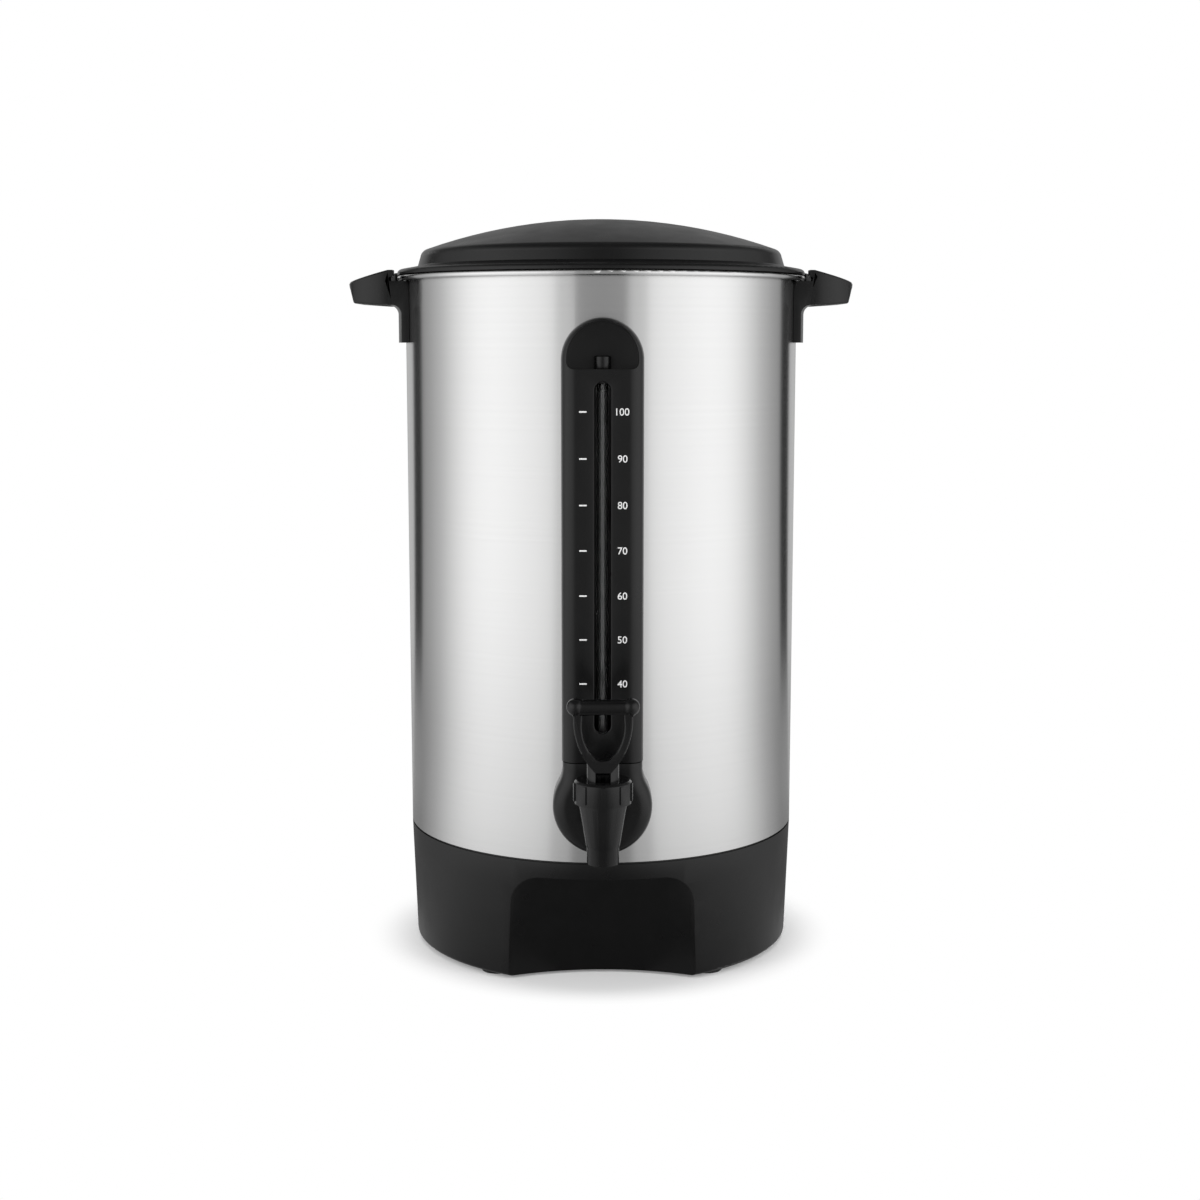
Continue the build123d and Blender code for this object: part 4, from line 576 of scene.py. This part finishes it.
def makeFloor():
    # to camera rays the floor keeps its real shadow near the urn and turns plain white away from it; to
    # glossy rays it glows with the studio ring as painted studio light, with painted shade near the urn in
    # place of the urn's shadow
    material = bpy.data.materials.new("pale floor")
    material.use_nodes = True
    tree = material.node_tree
    tree.nodes.clear()
    grey = floorLook["colour"]
    matte = setInputs(addNode(tree, "ShaderNodeBsdfDiffuse"), Color=(grey, grey, grey, 1.0))
    vector = objectVector(tree)
    away = addNode(tree, "ShaderNodeVectorMath", operation="LENGTH")
    tree.links.new(vector, away.inputs[0])
    whiter = setInputs(addNode(tree, "ShaderNodeMapRange", interpolation_type="SMOOTHSTEP"),
                       From_Min=floorLook["whiteFrom"], From_Max=floorLook["whiteAt"],
                       To_Min=floorLook["whiteNear"], To_Max=1.0)
    mirrored = setInputs(addNode(tree, "ShaderNodeMapRange", interpolation_type="SMOOTHSTEP"),
                         From_Min=floorLook["mirrorFrom"], From_Max=floorLook["mirrorAt"],
                         To_Min=0.0, To_Max=1.0)
    # painted shade: the glowing floor is darkened towards the urn's foot, standing in for the urn's shadow in
    # reflections
    paintedShadeNear = setInputs(addNode(tree, "ShaderNodeMapRange"),
                        From_Min=floorLook["whiteFrom"], From_Max=floorLook["mirrorNearAt"],
                        To_Min=floorLook["mirrorFoot"], To_Max=floorLook["mirrorNear"])
    for reach in (whiter, mirrored, paintedShadeNear):
        tree.links.new(away.outputs["Value"], reach.inputs["Value"])
    rays = addNode(tree, "ShaderNodeLightPath")
    seen = addNode(tree, "ShaderNodeMath", operation="MULTIPLY")
    tree.links.new(whiter.outputs["Result"], seen.inputs[0])
    tree.links.new(rays.outputs["Is Camera Ray"], seen.inputs[1])
    share = addNode(tree, "ShaderNodeMath", operation="MAXIMUM")
    tree.links.new(seen.outputs[0], share.inputs[0])
    tree.links.new(rays.outputs["Is Glossy Ray"], share.inputs[1])
    # painted studio light: to glossy rays the floor glows with the same studio ring as the world, its dark
    # stripe lifted near the urn
    ring = addNode(tree, "ShaderNodeGroup", node_tree=ringGroup)
    tree.links.new(vector, ring.inputs["Vector"])
    near = addNode(tree, "ShaderNodeMath", operation="MAXIMUM")
    near.inputs[1].default_value = floorLook["mirrorLeast"]
    tree.links.new(ring.outputs["Bright"], near.inputs[0])
    ringWithPaintedShade = addNode(tree, "ShaderNodeMath", operation="MULTIPLY")
    tree.links.new(near.outputs[0], ringWithPaintedShade.inputs[0])
    tree.links.new(paintedShadeNear.outputs["Result"], ringWithPaintedShade.inputs[1])
    mirror = addNode(tree, "ShaderNodeMix")
    tree.links.new(mirrored.outputs["Result"], mirror.inputs["Factor"])
    tree.links.new(ringWithPaintedShade.outputs[0], mirror.inputs["A"])
    tree.links.new(ring.outputs["Bright"], mirror.inputs["B"])
    bright = setInputs(addNode(tree, "ShaderNodeMix"), A=1.0)
    tree.links.new(rays.outputs["Is Glossy Ray"], bright.inputs["Factor"])
    tree.links.new(mirror.outputs["Result"], bright.inputs["B"])
    plain = addNode(tree, "ShaderNodeEmission")
    tree.links.new(bright.outputs["Result"], plain.inputs["Strength"])
    mix = addNode(tree, "ShaderNodeMixShader")
    end = addNode(tree, "ShaderNodeOutputMaterial")
    tree.links.new(share.outputs[0], mix.inputs["Fac"])
    tree.links.new(matte.outputs[0], mix.inputs[1])
    tree.links.new(plain.outputs[0], mix.inputs[2])
    tree.links.new(mix.outputs[0], end.inputs["Surface"])
    return material


floorShape = bmesh.new()
bmesh.ops.create_circle(floorShape, cap_ends=True, segments=floorLook["steps"], radius=floorLook["radius"])
floorMesh = bpy.data.meshes.new("floor")
floorShape.to_mesh(floorMesh)
floorShape.free()
floorMesh.materials.append(makeFloor())
floor = bpy.data.objects.new("floor", floorMesh)
scene.collection.objects.link(floor)


def makeWorld():
    world = bpy.data.worlds.new("studio")
    world.use_nodes = True
    scene.world = world
    tree = world.node_tree
    tree.nodes.clear()
    coordinates = addNode(tree, "ShaderNodeTexCoord")
    ring = addNode(tree, "ShaderNodeGroup", node_tree=ringGroup)
    tree.links.new(coordinates.outputs["Generated"], ring.inputs["Vector"])
    rays = addNode(tree, "ShaderNodeLightPath")
    glossy = setInputs(addNode(tree, "ShaderNodeMix"), A=studio["ambient"])
    tree.links.new(rays.outputs["Is Glossy Ray"], glossy.inputs["Factor"])
    tree.links.new(ring.outputs["Bright"], glossy.inputs["B"])
    seen = addNode(tree, "ShaderNodeMath", operation="MAXIMUM")
    tree.links.new(rays.outputs["Is Camera Ray"], seen.inputs[0])
    tree.links.new(rays.outputs["Is Transmission Ray"], seen.inputs[1])
    white = setInputs(addNode(tree, "ShaderNodeMix"), B=1.0)
    tree.links.new(seen.outputs[0], white.inputs["Factor"])
    tree.links.new(glossy.outputs["Result"], white.inputs["A"])
    light = addNode(tree, "ShaderNodeBackground")
    end = addNode(tree, "ShaderNodeOutputWorld")
    tree.links.new(white.outputs["Result"], light.inputs["Strength"])
    light.inputs["Color"].default_value = (1.0, 1.0, 1.0, 1.0)
    tree.links.new(light.outputs[0], end.inputs["Surface"])


makeWorld()

lamps = {  # name: (place, aimed at, width, height, power)
    "left box": ((-1.7, -1.2, 1.0), (0, 0, 0.25), 0.7, 1.6, 22),
    "right box": ((1.7, -1.2, 1.0), (0, 0, 0.25), 0.7, 1.6, 22),
    "top box": ((0, 0.5, 2.0), (0, 0, 0.3), 1.6, 1.2, 24),
}
for name, (place, target, width, height, power) in lamps.items():
    lamp = bpy.data.objects.new(name, bpy.data.lights.new(name, "AREA"))
    lamp.data.shape = "RECTANGLE"
    lamp.data.size = width
    lamp.data.size_y = height
    lamp.data.energy = power
    lamp.location = place
    lamp.rotation_euler = (Vector(target) - Vector(place)).to_track_quat("-Z", "Y").to_euler()
    lamp.visible_glossy = False  # polished surfaces see the studio ring instead
    scene.collection.objects.link(lamp)
print("studio lit")

scene.view_settings.view_transform = "Standard"
